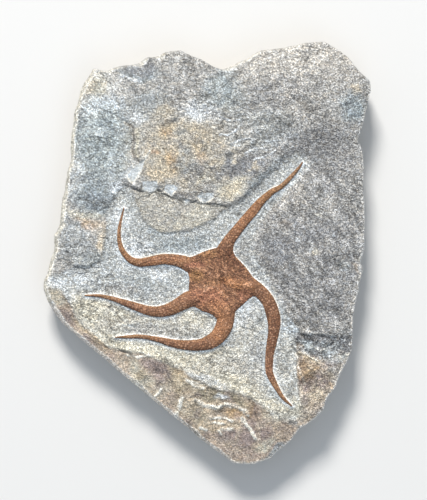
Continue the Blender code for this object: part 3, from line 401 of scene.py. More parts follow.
# Patchy ground: centre, half width, half height, its two colours, patch size, strength
MOTTLES = (
    ((-8, -8), 52, 16, "white", "slate", 3, 0.16), ((-10, -34), 44, 14, "cream", "warm", 3, 0.16),
    ((-6, 38), 20, 15, "ochre", "slate", 3, 0.4), ((-8, 38), 14, 12, "tan", "dark", 1.8, 0.4),
    ((9, 33), 12, 6, "tan", "dark", 2, 0.9), ((38, 0), 22, 34, "grey", "dark", 4.5, 0.4),
    ((28, 60), 34, 20, "buff", "warm", 5, 0.25), ((-38, 50), 16, 24, "white", "slate", 4.5, 0.22),
    ((0, -62), 44, 18, "bandtan", "mauve", 3.8, 0.5), ((-40, -32), 18, 12, "bandtan", "mauve", 4, 0.5),
    ((42, -50), 12, 14, "bandtan", "mauve", 3.2, 0.5), ((-7, 14), 20, 9, "cream", "warm", 3.6, 0.4),
    ((-50, 6), 8, 10, "white", "dark", 2, 0.35), ((44, -35), 13, 5, "facet", "crack", 0.9, 0.6),
)
WORKED_MOTTLES = 2     # this many of the first rows lie on the worked ground, the rest around it
# How soft ellipses fade: value in the middle before it is clipped, and its loss by the edge
STAIN_FADE = (1.45, 0.9)
MOTTLE_FADE = (1.6, 1.1)
FABRIC_FADE = (1.7, 1.1)


# ---------------- numbers and noise

HASH_FACTORS = np.array((73856093, 19349663, 83492791))
HASH_ROUNDS = ((15, 0x2C1B3C6D), (12, 0x297A2D39))
SEED_FACTOR = 2654435
HASH_MASK = 0xFFFFFFFF


def clamp(value):
    return np.clip(value, 0, 1)


def smoothstep(value):
    value = clamp(value)
    return value * value * (3 - 2 * value)


def lerp(a, b, share):
    return a + (b - a) * share


def hashed(cells, seed):
    """A repeatable number from 0 to 1 for each row of whole numbers."""
    key = (cells @ HASH_FACTORS[: cells.shape[1]] + seed * SEED_FACTOR) & HASH_MASK
    for shift, factor in HASH_ROUNDS:
        key = ((key ^ (key >> shift)) * factor) & HASH_MASK
    return ((key >> 8) & 0xFFFF) / 0xFFFF


def value_noise(points, size, seed):
    """Smooth noise from -1 to 1 at each row of points, with bumps of the given size."""
    scaled = np.asarray(points, float) / size
    cell = np.floor(scaled).astype(np.int64)
    blend = smoothstep(scaled - cell)
    total = np.zeros(len(scaled))
    for corner in itertools.product((0, 1), repeat=scaled.shape[1]):
        weight = np.prod(np.where(corner, blend, 1 - blend), axis=1)
        total += weight * (2 * hashed(cell + corner, seed) - 1)
    return total


def fractal(points, size, seed, octaves=3):
    """Sum of noises, each one half as large and half as strong as the last."""
    layers = [value_noise(points, size / 2**k, seed + 17 * k) / 2**k for k in range(octaves)]
    return sum(layers) / (2 - 2 ** (1 - octaves))


def drift(points, size, seed):
    """Two noises side by side, to bend a pattern in the plane."""
    return np.column_stack((fractal(points, size, seed), fractal(points, size, seed + 1)))


def turned(xy, degrees):
    """How far each point lies along a direction, and to the left of it."""
    cosine, sine = math.cos(math.radians(degrees)), math.sin(math.radians(degrees))
    return xy @ (cosine, sine), xy @ (-sine, cosine)


def streaked(xy, turn, stretch, size, seed):
    """Noise drawn out along one direction."""
    along, across = turned(xy, turn)
    return fractal(np.column_stack((along / stretch, across)), size, seed)


def cellular(points, seed, jitter):
    """Distances to the nearest and the second nearest of scattered seeds, and the nearest's number."""
    cell = np.floor(points).astype(np.int64)
    first = np.full(len(points), 9.0)
    second = first.copy()
    number = np.zeros(len(points))
    for shift in itertools.product((-1, 0, 1), repeat=2):
        corner = cell + shift
        spot = np.column_stack((hashed(corner, seed), hashed(corner, seed + 1)))
        away = np.hypot(*(points - corner - 0.5 - jitter * (spot - 0.5)).T)
        second = np.minimum(second, np.maximum(first, away))
        number = np.where(away < first, hashed(corner, seed + 2), number)
        first = np.minimum(first, away)
    return first, second, number


def rough(xy, z, size):
    """The broad swell that the solids have too."""
    return np.array([noise.noise(Vector((x, y, z)) / size) for x, y in xy])


# ---------------- plane geometry

def segment_reach(xy, a, b):
    """Distance from each point to the segment a-b, and the share along it of the nearest spot."""
    along = b - a
    share = clamp((xy - a) @ along / (along @ along))
    away = xy - a - share[:, None] * along
    return np.hypot(away[:, 0], away[:, 1]), share


def to_outline(xy, outline):
    """Signed distance to a closed outline, negative inside, and the nearest edge's third value."""
    corners = np.array(outline, float)
    nearest = np.full(len(xy), np.inf)
    carried = np.zeros(len(xy))
    inside = np.zeros(len(xy), bool)
    for a, b in zip(corners, np.roll(corners, -1, axis=0)):
        away, share = segment_reach(xy, a[:2], b[:2])
        closer = away < nearest
        nearest[closer] = away[closer]
        if len(a) > 2:
            carried[closer] = lerp(a[2], b[2], share[closer])
        rise = (b[1] - a[1]) or 1.0
        crossing = a[0] + (b[0] - a[0]) * (xy[:, 1] - a[1]) / rise
        inside ^= ((a[1] > xy[:, 1]) != (b[1] > xy[:, 1])) & (xy[:, 0] < crossing)
    return np.where(inside, -nearest, nearest), carried


def within(distance, width):
    """1 inside an outline and 0 outside it, over an edge of the given width."""
    return smoothstep(0.5 - distance / width)


def to_line(xy, line):
    """Distance to an open line."""
    points = np.array(line, float)
    return np.min([segment_reach(xy, a, b)[0] for a, b in zip(points, points[1:])], axis=0)


def near_line(xy, line, half):
    """1 on an open line, falling to 0 at its half width."""
    return clamp(1 - to_line(xy, line) / half)


def soft_ellipse(xy, x, y, half_width, half_height, turn=0.0, fade=STAIN_FADE):
    """1 in the middle of an ellipse, and 0 well outside it."""
    along, across = turned(xy - (x, y), turn)
    return smoothstep(fade[0] - fade[1] * np.hypot(along / half_width, across / half_height))


def lengths_along(line):
    """Length of a line up to each of its points."""
    return np.concatenate(([0], np.cumsum(np.hypot(*np.diff(line, axis=0).T))))


def points_at(line, lengths, at):
    """Points of a line where its length has the given values."""
    return np.column_stack([np.interp(at, lengths, line[:, axis]) for axis in (0, 1)])


def resample(points, step, closed=True):
    """Even steps along a closed outline or an open line."""
    line = np.array(points, float)
    if closed:
        line = np.vstack((line, line[:1]))
    lengths = lengths_along(line)
    count = max(1, round(lengths[-1] / step))
    even = points_at(line, lengths, np.linspace(0, lengths[-1], count + 1))
    return even[:-1] if closed else even


def normals(loop):
    """Outward normals of a clockwise loop."""
    along = np.roll(loop, -1, axis=0) - np.roll(loop, 1, axis=0)
    return np.column_stack((-along[:, 1], along[:, 0])) / np.hypot(*along.T)[:, None]


def catmull_rom(points, position):
    """Points of a smooth curve through the given rows, at positions from 0 to len - 1."""
    points = np.array(points, float)
    index = np.minimum(position.astype(int), len(points) - 2)
    t = (position - index)[:, None]
    a, b = points[np.maximum(index - 1, 0)], points[index]
    c, d = points[index + 1], points[np.minimum(index + 2, len(points) - 1)]
    linear_part = 2 * b + (c - a) * t
    return 0.5 * (linear_part + (2 * a - 5 * b + 4 * c - d) * t**2 + (3 * b - a - 3 * c + d) * t**3)


# ---------------- the star's outline

STAR_STEP = 0.18
OUTLINE_STEP = 0.8
ARM_SAMPLES = 600      # points on each edge of an arm before they are spaced evenly
DISC_SAMPLES = 200     # the same on a free edge of the disc


def arm_curves(arm, step):
    """Left and right edge points of an arm at even steps from its seam to its tip."""
    left, right = np.array(arm["base"])
    stations = np.array(arm["stations"])
    centres = np.vstack(((left + right) / 2, stations[:, :2]))
    lefts, rights = [left], [right]
    for index, (x, y, width) in enumerate(stations, start=1):
        along = centres[min(index + 1, len(centres) - 1)] - centres[index - 1]
        along = along / np.hypot(*along)
        side = np.array((-along[1], along[0])) * width / 2
        lefts.append((x, y) + side)
        rights.append((x, y) - side)
    position = np.linspace(0, len(lefts) - 1, ARM_SAMPLES)
    left_line, right_line = catmull_rom(lefts, position), catmull_rom(rights, position)
    lengths = lengths_along((left_line + right_line) / 2)
    at = np.linspace(0, lengths[-1], round(lengths[-1] / step) + 1)
    return points_at(left_line, lengths, at), points_at(right_line, lengths, at), at


def disc_free_edge(index, step):
    """Smooth free edge of the disc after one arm, without its two end corners."""
    arms = list(ARMS.values())
    start = arms[index]["base"][1]
    end = arms[(index + 1) % len(arms)]["base"][0]
    points = [start, *DISC_EDGES[index], end]
    fine = catmull_rom(points, np.linspace(0, len(points) - 1, DISC_SAMPLES))
    return resample(fine, step, closed=False)[1:-1]


def star_outline():
    line = []
    for number, arm in enumerate(ARMS.values()):
        left_edge, right_edge, _ = arm_curves(arm, OUTLINE_STEP)
        line += [*left_edge, *right_edge[::-1], *disc_free_edge(number, OUTLINE_STEP)]
    return np.array(line)


STAR_OUTLINE = star_outline()
NORTH = np.array((0.0, 1.0))
TO_LIGHT = np.array((0.6, 0.8))
NUDGE = 0.1
FACING_REACH = 3.0     # how far from the star its edge still shows a direction


def edge_facing(xy, to_star, direction):
    """How far the star's nearest edge faces one direction, -1 to 1, and 0 far from it."""
    facing = np.zeros(len(xy))
    close = np.abs(to_star) < FACING_REACH
    farther = to_outline(xy[close] + NUDGE * direction, STAR_OUTLINE)[0]
    facing[close] = (farther - to_star[close]) / NUDGE
    return facing


# ---------------- stone surface

LAYER_REACH = 20.0     # how far in from its edge a layer reaches its inner height
LEAST_EDGE = 0.6       # narrowest edge of a layer
TINT_EDGE = 0.55       # width of a layer's edge in the colours, as a share of its real one
FACET_EDGE = 0.5
SWELLS = ((0.45, 3, 27), (0.22, 9, 7.5))   # height, level in the noise and size
RIM_FALL = 1.3         # how far the top falls toward the rim
RIM_REACH = 9.0
HOLLOW_SHAPE = 0.7     # below 1, a hollow has steep sides and a flat floor
RIDGE_SHAPE = 1.3      # above 1, a ridge has a sharp crest
LIP_WIDTH = 0.4        # steep edge left standing against the star, on its north side
GENTLE_WIDTH = 2.0     # the same on its south side
GENTLE_DROP = 0.2      # how much lower it ends there
APRON_MIDDLE = 1.0     # how far from the star the smooth strip round it is half faded
APRON_FADE = 1.2
APRON_Z = 16.7
APRON_SHARE = 0.75
BED_DEPTH = 0.6        # how far the stone sinks below the star
BED_EDGE = 0.4
LOBE_CENTRE = (-9, 13.5)       # smooth natural ground above the star, a flattened circle
LOBE_SHAPE = (1.0, 0.6)
LOBE_RADIUS = 26
LOBE_FADE = 6


def layered_height(xy):
    """Height of the stone from its layers, with ragged edges, and how far each layer covers it."""
    ragged = xy + 0.55 * drift(xy, 3.2, 1)
    height = np.full(len(xy), NATURAL_Z)
    cover = {}
    for name, (outline, edge_level, inner_level) in LAYERS.items():
        distance, width = to_outline(ragged, outline)
        level = lerp(edge_level, inner_level, smoothstep(-distance / LAYER_REACH))
        height = lerp(height, level, within(distance, np.maximum(width, LEAST_EDGE)))
        cover[name] = within(distance, np.maximum(TINT_EDGE * width, LEAST_EDGE))
    for name in ("upper", "band", "prepared"):
        for later in ("prepared", "patch", "recess"):
            if later != name:
                cover[name] = cover[name] * (1 - cover[later])
    return height, cover


def cut_facets(xy, height):
    """Break the facets out of the ledges: new heights, the facets' cover and that of their feet."""
    facet, foot = np.zeros((2, len(xy)))
    bent = xy + 0.25 * drift(xy, 1.2, 8)
    for outline, south, north in FACETS:
        distance = to_outline(bent, outline)[0]
        low, high = np.min(outline, axis=0)[1], np.max(outline, axis=0)[1]
        share = clamp((xy[:, 1] - low) / (high - low))
        inside = within(distance, FACET_EDGE)
        height = lerp(height, lerp(south, north, share), inside)
        facet = np.maximum(facet, inside)
        foot = np.maximum(foot, smoothstep(1 - np.abs(distance + 0.1) / 0.4) * (share < 0.5))
    return height, facet, foot


def cut_lines(xy, height):
    """Hollows, ridges and cracks: new heights, how fresh each crest is and how open each crack."""
    crest, crack = np.zeros((2, len(xy)))
    for centre, radius, depth in HOLLOWS:
        away = np.hypot(*(xy - centre).T) / radius
        height = height - depth * clamp(1 - away**2) ** HOLLOW_SHAPE
    for line, rise, half, fresh in RIDGES:
        nearby = near_line(xy, line, half)
        height = height + rise * nearby**RIDGE_SHAPE
        crest = np.maximum(crest, fresh * nearby)
    for line, depth, half in CRACKS:
        nearby = near_line(xy, line, half)
        height = height - depth * nearby
        crack = np.maximum(crack, nearby * min(1.0, depth / OPEN_CRACK))
    return height, crest, crack


def fabric_grain(xy):
    """Drawn-out grain of the stone: its relief in millimetres, and how it changes the tone."""
    relief, tone = np.zeros((2, len(xy)))
    for index, row in enumerate(FABRICS):
        centre, half_width, half_height, turn, stretch, size, rise, contrast = row
        area = soft_ellipse(xy, *centre, half_width, half_height, fade=FABRIC_FADE)
        grain = area * streaked(xy, turn, stretch, size, 110 + index)
        relief += rise * grain
        tone += contrast * grain
    return relief, tone


def set_lip(height, to_star, north):
    """Give the star a smooth apron and a lip that is steep to the north and gentle to the south."""
    apron = smoothstep(0.5 + (APRON_MIDDLE - to_star) / APRON_FADE)
    height = lerp(height, APRON_Z, APRON_SHARE * apron)
    steep = smoothstep((north + 0.5) / 0.6)
    lip_width = lerp(GENTLE_WIDTH, LIP_WIDTH, steep)
    lip_level = STAR_EDGE_Z - GENTLE_DROP * (1 - steep)
    height = lerp(height, lip_level, smoothstep((lip_width - to_star) / lip_width))
    return height - BED_DEPTH * smoothstep(-to_star / BED_EDGE), apron


def stone_surface(xy):
    """Height of the top face, and the masks that colour it."""
    height, cover = layered_height(xy)
    height, facet, foot = cut_facets(xy, height)
    height += sum(rise * rough(xy, level, size) for rise, level, size in SWELLS)
    height -= RIM_FALL * smoothstep(1 + to_outline(xy, RIM)[0] / RIM_REACH)
    bent = xy + 0.45 * drift(xy, 2.0, 5)
    height, crest, crack = cut_lines(bent, height)
    worked = np.maximum(cover["prepared"], np.maximum(cover["band"], cover["recess"]))
    cover["natural"] = (1 - worked) * (1 - facet)
    for ground, noises in ROUGHNESS.items():
        for rise, size, seed, octaves in noises:
            height += cover[ground] * rise * fractal(xy, size, seed, octaves)
    height += cover["prepared"] * TOOL_DEPTH * streaked(xy, *TOOL_MARKS)
    relief, fabric = fabric_grain(bent)
    to_star = to_outline(xy, STAR_OUTLINE)[0]
    north, lit = (edge_facing(xy, to_star, direction) for direction in (NORTH, TO_LIGHT))
    height, apron = set_lip(height + relief, to_star, north)
    away = (stain_drift(xy) - LOBE_CENTRE) / LOBE_SHAPE
    lobe = smoothstep((LOBE_RADIUS - np.hypot(*away.T)) / LOBE_FADE)
    cover.update(
        fabric=fabric, facet=facet, foot=foot, crest=crest, crack=crack, apron=apron,
        north=north, lit=lit, to_star=to_star, lobe=lobe * cover["natural"] * (1 - cover["upper"]),
    )
    return height, cover


# ---------------- stone colour

# How strongly the grains show, and how each kind of ground changes it
STONE_GRAIN = 0.92
GRAIN_CHANGES = {"recess": 0.36, "band": -0.18, "lobe": -0.12, "facet": -0.5, "apron": -0.2}
EAST_GRAIN = 0.12


def linear(name):
    """A palette colour as linear light."""
    share = np.array(PALETTE[name]) / 255
    return np.where(share <= 0.04045, share / 12.92, ((share + 0.055) / 1.055) ** 2.4)


def plain(name, count):
    """One palette colour for a number of points."""
    return np.tile(linear(name), (count, 1))


def paint(colour, *coats):
    """Lay palette colours over an array of colours. Each coat is a name and its strength."""
    for name, strength in coats:
        colour = lerp(colour, linear(name), clamp(np.reshape(strength, (-1, 1))))
    return colour


def paint_stains(colour, stains, xy, where=1.0):
    """Lay soft stains over an array of colours."""
    for name, *ellipse, strength in stains:
        colour = paint(colour, (name, strength * where * soft_ellipse(xy, *ellipse)))
    return colour


def stain_drift(xy):
    """Points moved about, so that a stain has a wandering outline."""
    return xy + 2.2 * drift(xy, 9, 31) + drift(xy, 2.2, 33)


def paint_mottles(colour, xy, warped, prepared):
    """Break up areas of the ground into patches of two colours."""
    bent = xy + 0.4 * drift(xy, 1.5, 45)
    for index, row in enumerate(MOTTLES):
        centre, half_width, half_height, high, low, size, strength = row
        area = strength * (prepared if index < WORKED_MOTTLES else 1 - prepared)
        area = area * soft_ellipse(warped, *centre, half_width, half_height, fade=MOTTLE_FADE)
        patches = 2.2 * fractal(bent, size, 50 + 3 * index)
        coats = ((high, area * smoothstep(patches - 0.1)), (low, area * smoothstep(-patches - 0.1)))
        colour = paint(colour, *coats)
    return colour


def stone_colour(xy, cover):
    """Colour of the top face before its grain: ground, worked areas, stains, streaks and edges."""
    warped = stain_drift(xy)
    prepared = cover["prepared"]
    colour = paint(
        plain("grey", len(xy)), ("lobe", 0.9 * cover["lobe"]), ("prepared", prepared),
        ("blush", cover["band"]), ("recess", cover["recess"]),
    )
    colour = paint_stains(colour, UNWORKED_STAINS, warped, 1 - prepared)
    colour = paint_stains(colour, WORKED_STAINS, warped, prepared)
    colour = paint_mottles(colour, xy, warped, prepared)
    for name, line, half, strength in STREAKS:
        nearby = smoothstep(1.4 - to_line(lerp(xy, warped, 0.25), line) / half)
        colour = paint(colour, (name, strength * nearby * (0.8 + 0.4 * fractal(xy, 1.5, 46))))
    colour = colour * (1 + cover["fabric"])[:, None]

    # Fresh stone on facets and crests, painted shade in cracks and at the feet of ledges, a bluish apron
    # and a painted highlight on its lip
    broken = (0.85 + fractal(xy, 1.4, 47, 2)) * smoothstep(cover["crest"] * 2 - 0.4)
    # the apron is a real smoothed strip; its bluish tint, stronger on the star's south side, is partly
    # painted shade
    bluish = (0.8 + 0.5 * fractal(xy, 5, 43)) * (0.55 - 0.35 * cover["north"])
    # painted highlight: the lip is lightened where the star's edge faces the light
    painted_lip_highlight = (0.95 + 0.4 * fractal(xy, 3, 48)) * smoothstep((cover["lit"] - 0.1) / 0.6)
    on_lip = smoothstep((LIP_WIDTH + 0.06 - cover["to_star"]) / 0.16)
    return paint(
        colour, ("facet", 0.85 * cover["facet"]), ("fresh", 0.9 * cover["foot"]),
        ("fresh", broken * (xy[:, 1] < 0)), ("white", broken * (xy[:, 1] > 0)),
        ("crack", 0.5 * smoothstep(cover["crack"] * 1.3)), ("halo", bluish * cover["apron"]),
        ("lip", painted_lip_highlight * on_lip),
    )


def stone_grain(xy, cover):
    """How strongly the grains show: most in the recess and to the east, least on facets."""
    east = smoothstep((xy[:, 0] - 18) / 12) * cover["natural"]
    changes = sum(change * cover[name] for name, change in GRAIN_CHANGES.items())
    return STONE_GRAIN + EAST_GRAIN * east + changes


# ---------------- mesh helpers

ROW_SHARE = 0.87       # spacing of the rows of a triangular grid, as a share of its step
GRID_JITTER = 0.2
WELD = 1e-6            # corners closer than this are one


def jittered_grid(low, high, step, seed):
    """Points of a triangular grid in a box, each one moved a little."""
    shuffle = np.random.default_rng(seed)
    rows = np.arange(low[1], high[1], step * ROW_SHARE)
    columns = np.arange(low[0], high[0], step)
    x, y = np.meshgrid(columns, rows)
    x = x + (np.arange(len(rows)) % 2)[:, None] * step / 2
    even = np.column_stack((x.ravel(), y.ravel()))
    return even + shuffle.uniform(-GRID_JITTER, GRID_JITTER, even.shape) * step


def triangulate(loop, inner):
    """Delaunay triangles inside a loop. Corners keep their order: the loop first, then the rest."""
    count = len(loop)
    points = [Vector(p) for p in np.vstack((loop, inner))]
    edges = [(i, (i + 1) % count) for i in range(count)]
    _, _, faces, sources, _, _ = delaunay_2d_cdt(points, edges, [list(range(count))], 1, WELD)
    first = [old[0] if old else -1 for old in sources]
    if min(first) < 0:
        raise ValueError("two edges of the outline cross")
    return [[first[i] for i in face] for face in faces]


def ring_faces(upper, lower):
    """Quads between two closed rows of corners."""
    after = [(i + 1) % len(upper) for i in range(len(upper))]
    return [(upper[i], upper[j], lower[j], lower[i]) for i, j in enumerate(after)]


def add_object(name, data, spot=(0, 0, 0)):
    thing = bpy.data.objects.new(name, data)
    thing.location = spot
    bpy.context.collection.objects.link(thing)
    return thing


def add_piece(name, node, parts, faces, material):
    """Make one closed piece from parts, each one corners in millimetres, colours and grain."""
    corners = np.concatenate([part[0] for part in parts])
    tint = np.concatenate([part[1] for part in parts])
    grain = np.concatenate([np.broadcast_to(part[2], len(part[0])) for part in parts])
    mesh = bpy.data.meshes.new(name)
    mesh.from_pydata((corners * MM).tolist(), [], faces)
    shape = bmesh.new()
    shape.from_mesh(mesh)
    bmesh.ops.recalc_face_normals(shape, faces=shape.faces)
    shape.to_mesh(mesh)
    shape.free()
    layer = mesh.attributes.new("tint", "FLOAT_COLOR", "POINT")
    layer.data.foreach_set("color", np.column_stack((tint, grain)).astype(np.float32).ravel())
    mesh.shade_smooth()
    mesh.materials.append(material)
    piece = add_object(name, mesh)
    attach(piece, "root")
    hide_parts(node)


# ---------------- slab

TOP_STEP = 0.56
BACK_STEP = 2.2
EDGE_STEP = 0.72
DENSE_REACH = 1.1      # how far from ridges, cracks and facets the top has extra corners
BEVEL_RINGS = 6
WALL_ROWS = 20
BEVEL_WEST = 1.7
BEVEL_OTHERS = 0.5
BEVEL_DROP = 2.6
BEVEL_GRAIN = 0.8
WALL_GRAIN = 0.9
CUT_SIDE = (-0.62, -0.78)      # the way the straight lower left side faces
# Share of the wall's height, draw-in, bedding plane
WALL_RINGS = (
    (1.0, 0.0, 0), (0.80, 0.3, 1), (0.73, 1.3, 1), (0.50, 0.7, 2), (0.44, 1.8, 2), (0.15, 1.7, 3),
    (0.0, 3.6, 4),
)
PLANE_WAVE = 0.09
# Centre, radius and depth
BACK_SPALLS = (((-34, 44), 13, 1.3), ((38, 58), 15, 1.6), ((14, -60), 13, 1.4), ((44, -14), 10, 1.0))
BACK_MARGIN = 1.2
LIP_ROWS = (-0.2, 0.02, 0.18, 0.34, 0.62)   # distances from the star of the rows of corners round it
LIP_STEP = 0.3


def slab_rim():
    """The widest outline at fine steps, roughened along its own normals."""
    rim = resample(RIM, EDGE_STEP)
    rim = (np.roll(rim, 1, axis=0) + 2 * rim + np.roll(rim, -1, axis=0)) / 4
    outward = normals(rim)
    push = 0.42 * fractal(rim, 4.5, 51) + 0.2 * fractal(rim, 1.6, 52)
    push *= 1 - 0.7 * smoothstep(4 * (outward @ CUT_SIDE) - 3)
    return rim + outward * push[:, None]


def draw_in(xy, distance):
    """Points moved toward the middle of the slab."""
    return xy * (1 - distance / np.hypot(*xy.T))[:, None]


def top_points(edge):
    """Corners of the top face: an even scatter, denser on ridges and cracks, in rows round the star."""
    grid = jittered_grid(np.min(RIM, axis=0), np.max(RIM, axis=0), TOP_STEP, 3)
    grid = grid[to_outline(grid, edge)[0] < -0.35]
    to_star = to_outline(grid, STAR_OUTLINE)[0]
    grid = grid[(to_star > LIP_ROWS[-1] + 0.2) | (to_star < LIP_ROWS[0] - 0.3)]
    lines = [row[0] for row in RIDGES + CRACKS]
    lines += [(*facet[0], facet[0][0]) for facet in FACETS]
    dense = np.min([to_line(grid, line) for line in lines], axis=0) < DENSE_REACH
    around = np.array(((0.5, 0), (0.25, 0.43), (-0.25, 0.43))) * TOP_STEP
    extra = [grid[dense] + offset for offset in around]
    loop = resample(STAR_OUTLINE, LIP_STEP)
    rows = []
    for distance in LIP_ROWS:
        row = loop + normals(loop) * distance
        rows.append(row[np.abs(to_outline(row, loop)[0] - distance) < 0.05])
    return np.vstack((grid, *extra, *rows))


def edge_tint(colour, outward, share):
    """Edge colours: cream to the left, bluish white to the right, a painted highlight on faces turned
    south and painted shade where they face the light.
    """
    east_facing, north_facing = outward.T
    west = clamp(-east_facing) * (north_facing > -0.45)
    east = clamp(east_facing) * smoothstep(north_facing + 1.2)
    south = clamp(-north_facing)
    lit = clamp(north_facing - 0.4 * east_facing)
    # the lip coat on south faces is a painted highlight, and the factor below is painted shade where the
    # edge faces the light
    colour = paint(
        colour, ("cream", 0.6 * west * min(1.0, 0.5 + share)), ("white", 0.5 * east * share),
        ("lip", 0.6 * south * (1 - share)),
    )
    return colour * (1 - 0.2 * lit * share)[:, None]


def wall_tint(xyz):
    """Side walls and back: buff and grey beds, brown stains."""
    beds = 2 * fractal(xyz * (0.15, 0.15, 1.0), 2.4, 71)
    stain = 1.5 * fractal(xyz, 9, 72)
    return paint(
        plain("wall", len(xyz)), ("grey", 0.8 * clamp(beds)), ("brown", 0.6 * clamp(-beds)),
        ("cream", 0.5 * clamp(stain)), ("ochre", 0.35 * clamp(-stain - 0.2)),
    )


def bevel_rows(edge, rim, edge_height, drop):
    """Rows of corners from the top's edge down to the widest outline, each with its share of the way."""
    for ring in range(1, BEVEL_RINGS + 1):
        share = ring / BEVEL_RINGS
        xyz = np.column_stack((lerp(edge, rim, share), edge_height - drop * share**1.5))
        xyz[:, 2] += 0.45 * fractal(xyz, 2.6, 61) * share * (1 - share) * 4
        yield xyz, share


def wall_rows(rim, rim_height):
    """Rows of corners down the walls, stepped along bedding planes, each with its share of the height."""
    shares, pulls = [], []
    for share, pull, plane in WALL_RINGS:
        shares.append(share + PLANE_WAVE * rough(rim, 20 * plane, 22) * (0 < share < 1))
        pulls.append(pull * (1 + 1.1 * rough(rim, 60 * share, 11)))
    shares, pulls = np.array(shares[::-1]), np.array(pulls[::-1])
    swell = rough(rim, 0, 3.5)
    for row in range(1, WALL_ROWS + 1):
        share = 1 - row / WALL_ROWS
        pull = np.array([np.interp(share, shares[:, i], pulls[:, i]) for i in range(len(rim))])
        xyz = np.column_stack((rim, rim_height * share))
        pull += 0.7 * swell * min(1, 4 * (1 - share))
        pull += 0.6 * fractal(xyz, 3.0, 62) * min(1, 3 * (1 - share)) + 0.25 * fractal(xyz, 1.2, 63)
        xyz[:, :2] = draw_in(rim, np.maximum(pull, 0.05))
        if row < WALL_ROWS:
            xyz[:, 2] += 0.25 * fractal(xyz, 2.2, 64)
        yield xyz, share


def back_points(back_edge, rim):
    """Corners of the back: flat, with shallow spalls and a little roughness that only rises."""
    grid = jittered_grid(rim.min(0), rim.max(0), BACK_STEP, 4)
    grid = grid[to_outline(grid, back_edge)[0] < -BACK_MARGIN]
    rise = 0.18 * np.abs(fractal(grid, 6, 65))
    for centre, radius, depth in BACK_SPALLS:
        away = np.hypot(*(grid - centre).T) / radius
        rise = np.maximum(rise, depth * smoothstep(1.4 - 1.4 * away))
    return np.column_stack((grid, rise))


def build_slab(material):
    rim = slab_rim()
    outward = normals(rim)
    west = smoothstep(-1.4 * outward[:, 0]) * smoothstep(outward[:, 1] + 1.4)
    edge = draw_in(rim, lerp(BEVEL_OTHERS, BEVEL_WEST, west) * (1 + 0.45 * rough(rim, 0, 6)))
    grid = top_points(edge)
    top = np.vstack((edge, grid))
    height, cover = stone_surface(top)
    colour = stone_colour(top, cover)
    count = len(edge)
    # Painted highlight along the top's edge where it is turned from the light, and along its west side
    shaded_side = clamp(outward @ (0.4, -0.9) + 0.3)
    colour[:count] = paint(colour[:count], ("lip", 0.6 * np.maximum(shaded_side, west)))
    edge_colour, edge_height = colour[:count], height[:count]
    drop = BEVEL_DROP * (1 + 0.4 * rough(rim, 5, 9))

    # Top, bevel, walls and back
    parts = [(np.column_stack((top, height)), colour, stone_grain(top, cover))]
    for xyz, share in bevel_rows(edge, rim, edge_height, drop):
        parts.append((xyz, edge_tint(edge_colour, outward, share), BEVEL_GRAIN))
    for xyz, share in wall_rows(rim, edge_height - drop):
        blend = 0.6 * smoothstep((share - 0.75) / 0.25)
        tint = lerp(wall_tint(xyz), edge_tint(edge_colour, outward, 1.0), blend)
        parts.append((xyz, tint, WALL_GRAIN))
    back_edge = parts[-1][0][:, :2]
    back = back_points(back_edge, rim)
    parts.append((back, wall_tint(back), WALL_GRAIN))

    faces = triangulate(edge, grid)
    above = list(range(count))
    start = len(top)
    for _ in range(BEVEL_RINGS + WALL_ROWS):
        below = list(range(start, start + count))
        faces += ring_faces(above, below)
        above = below
        start += count
    back_corners = above + list(range(start, start + len(back)))
    faces += [[back_corners[i] for i in face] for face in triangulate(back_edge, back[:, :2])]
    add_piece("limestone_slab", "stone_slab", parts, faces, material)


# ---------------- star

ARM_COLUMNS = 39
ARM_ARC = 0.9          # share of a half circle over which an arm's columns are spread
ARM_CROWN = 0.21
ARM_CROWN_MIN = 0.15
DISC_RISE = 0.4
PETAL_NARROW = 1.2
MOUTH_RADIUS = 2.6
MOUTH_DEPTH = 0.9
STAR_SKIRT = 1.2       # how far the star's side walls reach down into the stone
PLATE_LENGTH = 0.9     # along an arm
PLATE_WIDTH = 0.95     # across it
DISC_PLATES = (1.25, 0.85)     # size of the disc's plates outward and round the mouth
FULL_WIDTH = 4.0       # an arm this wide has plates of full height
PETALS = (0.25, 0.9, 0.5, 0.6, 0.7)   # how strongly the disc is ridged toward each arm
DISC_GRAIN = 1.1
ARM_GRAIN = 0.62
# Columns as in UNWORKED_STAINS
STAR_STAINS = (
    ("umber", 9.5, -4.5, 6, 4, -30, 0.5), ("umber", 10, -2.5, 3.6, 1.8, -35, 0.5),
    ("umber", 5.7, -8.2, 1.8, 3, 0, 0.6), ("umber", 6.7, -10.6, 1.3, 0.8, 0, 0.9),
    ("rose", 3, -14, 3, 2, 0, 0.5), ("orange", 11.5, -11.5, 5.4, 1.8, -14, 0.9),
    ("rose", 14.2, -16, 2.8, 2.4, 0, 0.5), ("rose", 0.3, -16.8, 6.5, 2.8, -10, 0.65),
    ("gold", -4.2, -8.5, 2.4, 2, 0, 0.8), ("gold", 1, -0.5, 4, 1.6, 15, 0.6),
    ("rose", -4.5, -4.4, 3.5, 1, 5, 0.7), ("orange", 2, -19, 4, 1.6, 0, 0.4),
    ("orange", 3.5, -31, 5, 3, -40, 0.5), ("umber", 24, -37, 2.5, 8, 0, 0.35),
    ("orange", 4.6, -25.5, 3.6, 5.5, 0, 0.65), ("orange", -14, -3.2, 8, 0.9, 5, 0.6),
    ("gold", -28, 2, 5, 8, 0, 0.5), ("umber", -6.5, -34.3, 4.5, 2, 0, 0.45),
    ("gold", 24, 22.5, 7, 4, 40, 0.8), ("straw", 30.5, 28, 6, 3, 45, 0.6),
    ("orange", 15, 13.5, 7, 2.6, 48, 0.45), ("umber", 24.6, -26, 3.4, 9, 0, 0.52),
    ("umber", -16.5, -21.6, 3.6, 2, 0, 0.4), ("straw", -40, -16.2, 6, 2, 8, 0.6),
    ("straw", -30, -31.3, 6, 2, 0, 0.75), ("straw", -32.6, 9.5, 2.4, 6, 0, 0.35),
    ("straw", 28, -53, 3, 5, 30, 0.4), ("umber", 7, 3, 4.5, 3, 50, 0.5),
    ("umber", 20.5, -13.5, 3, 3, 0, 0.4),
)
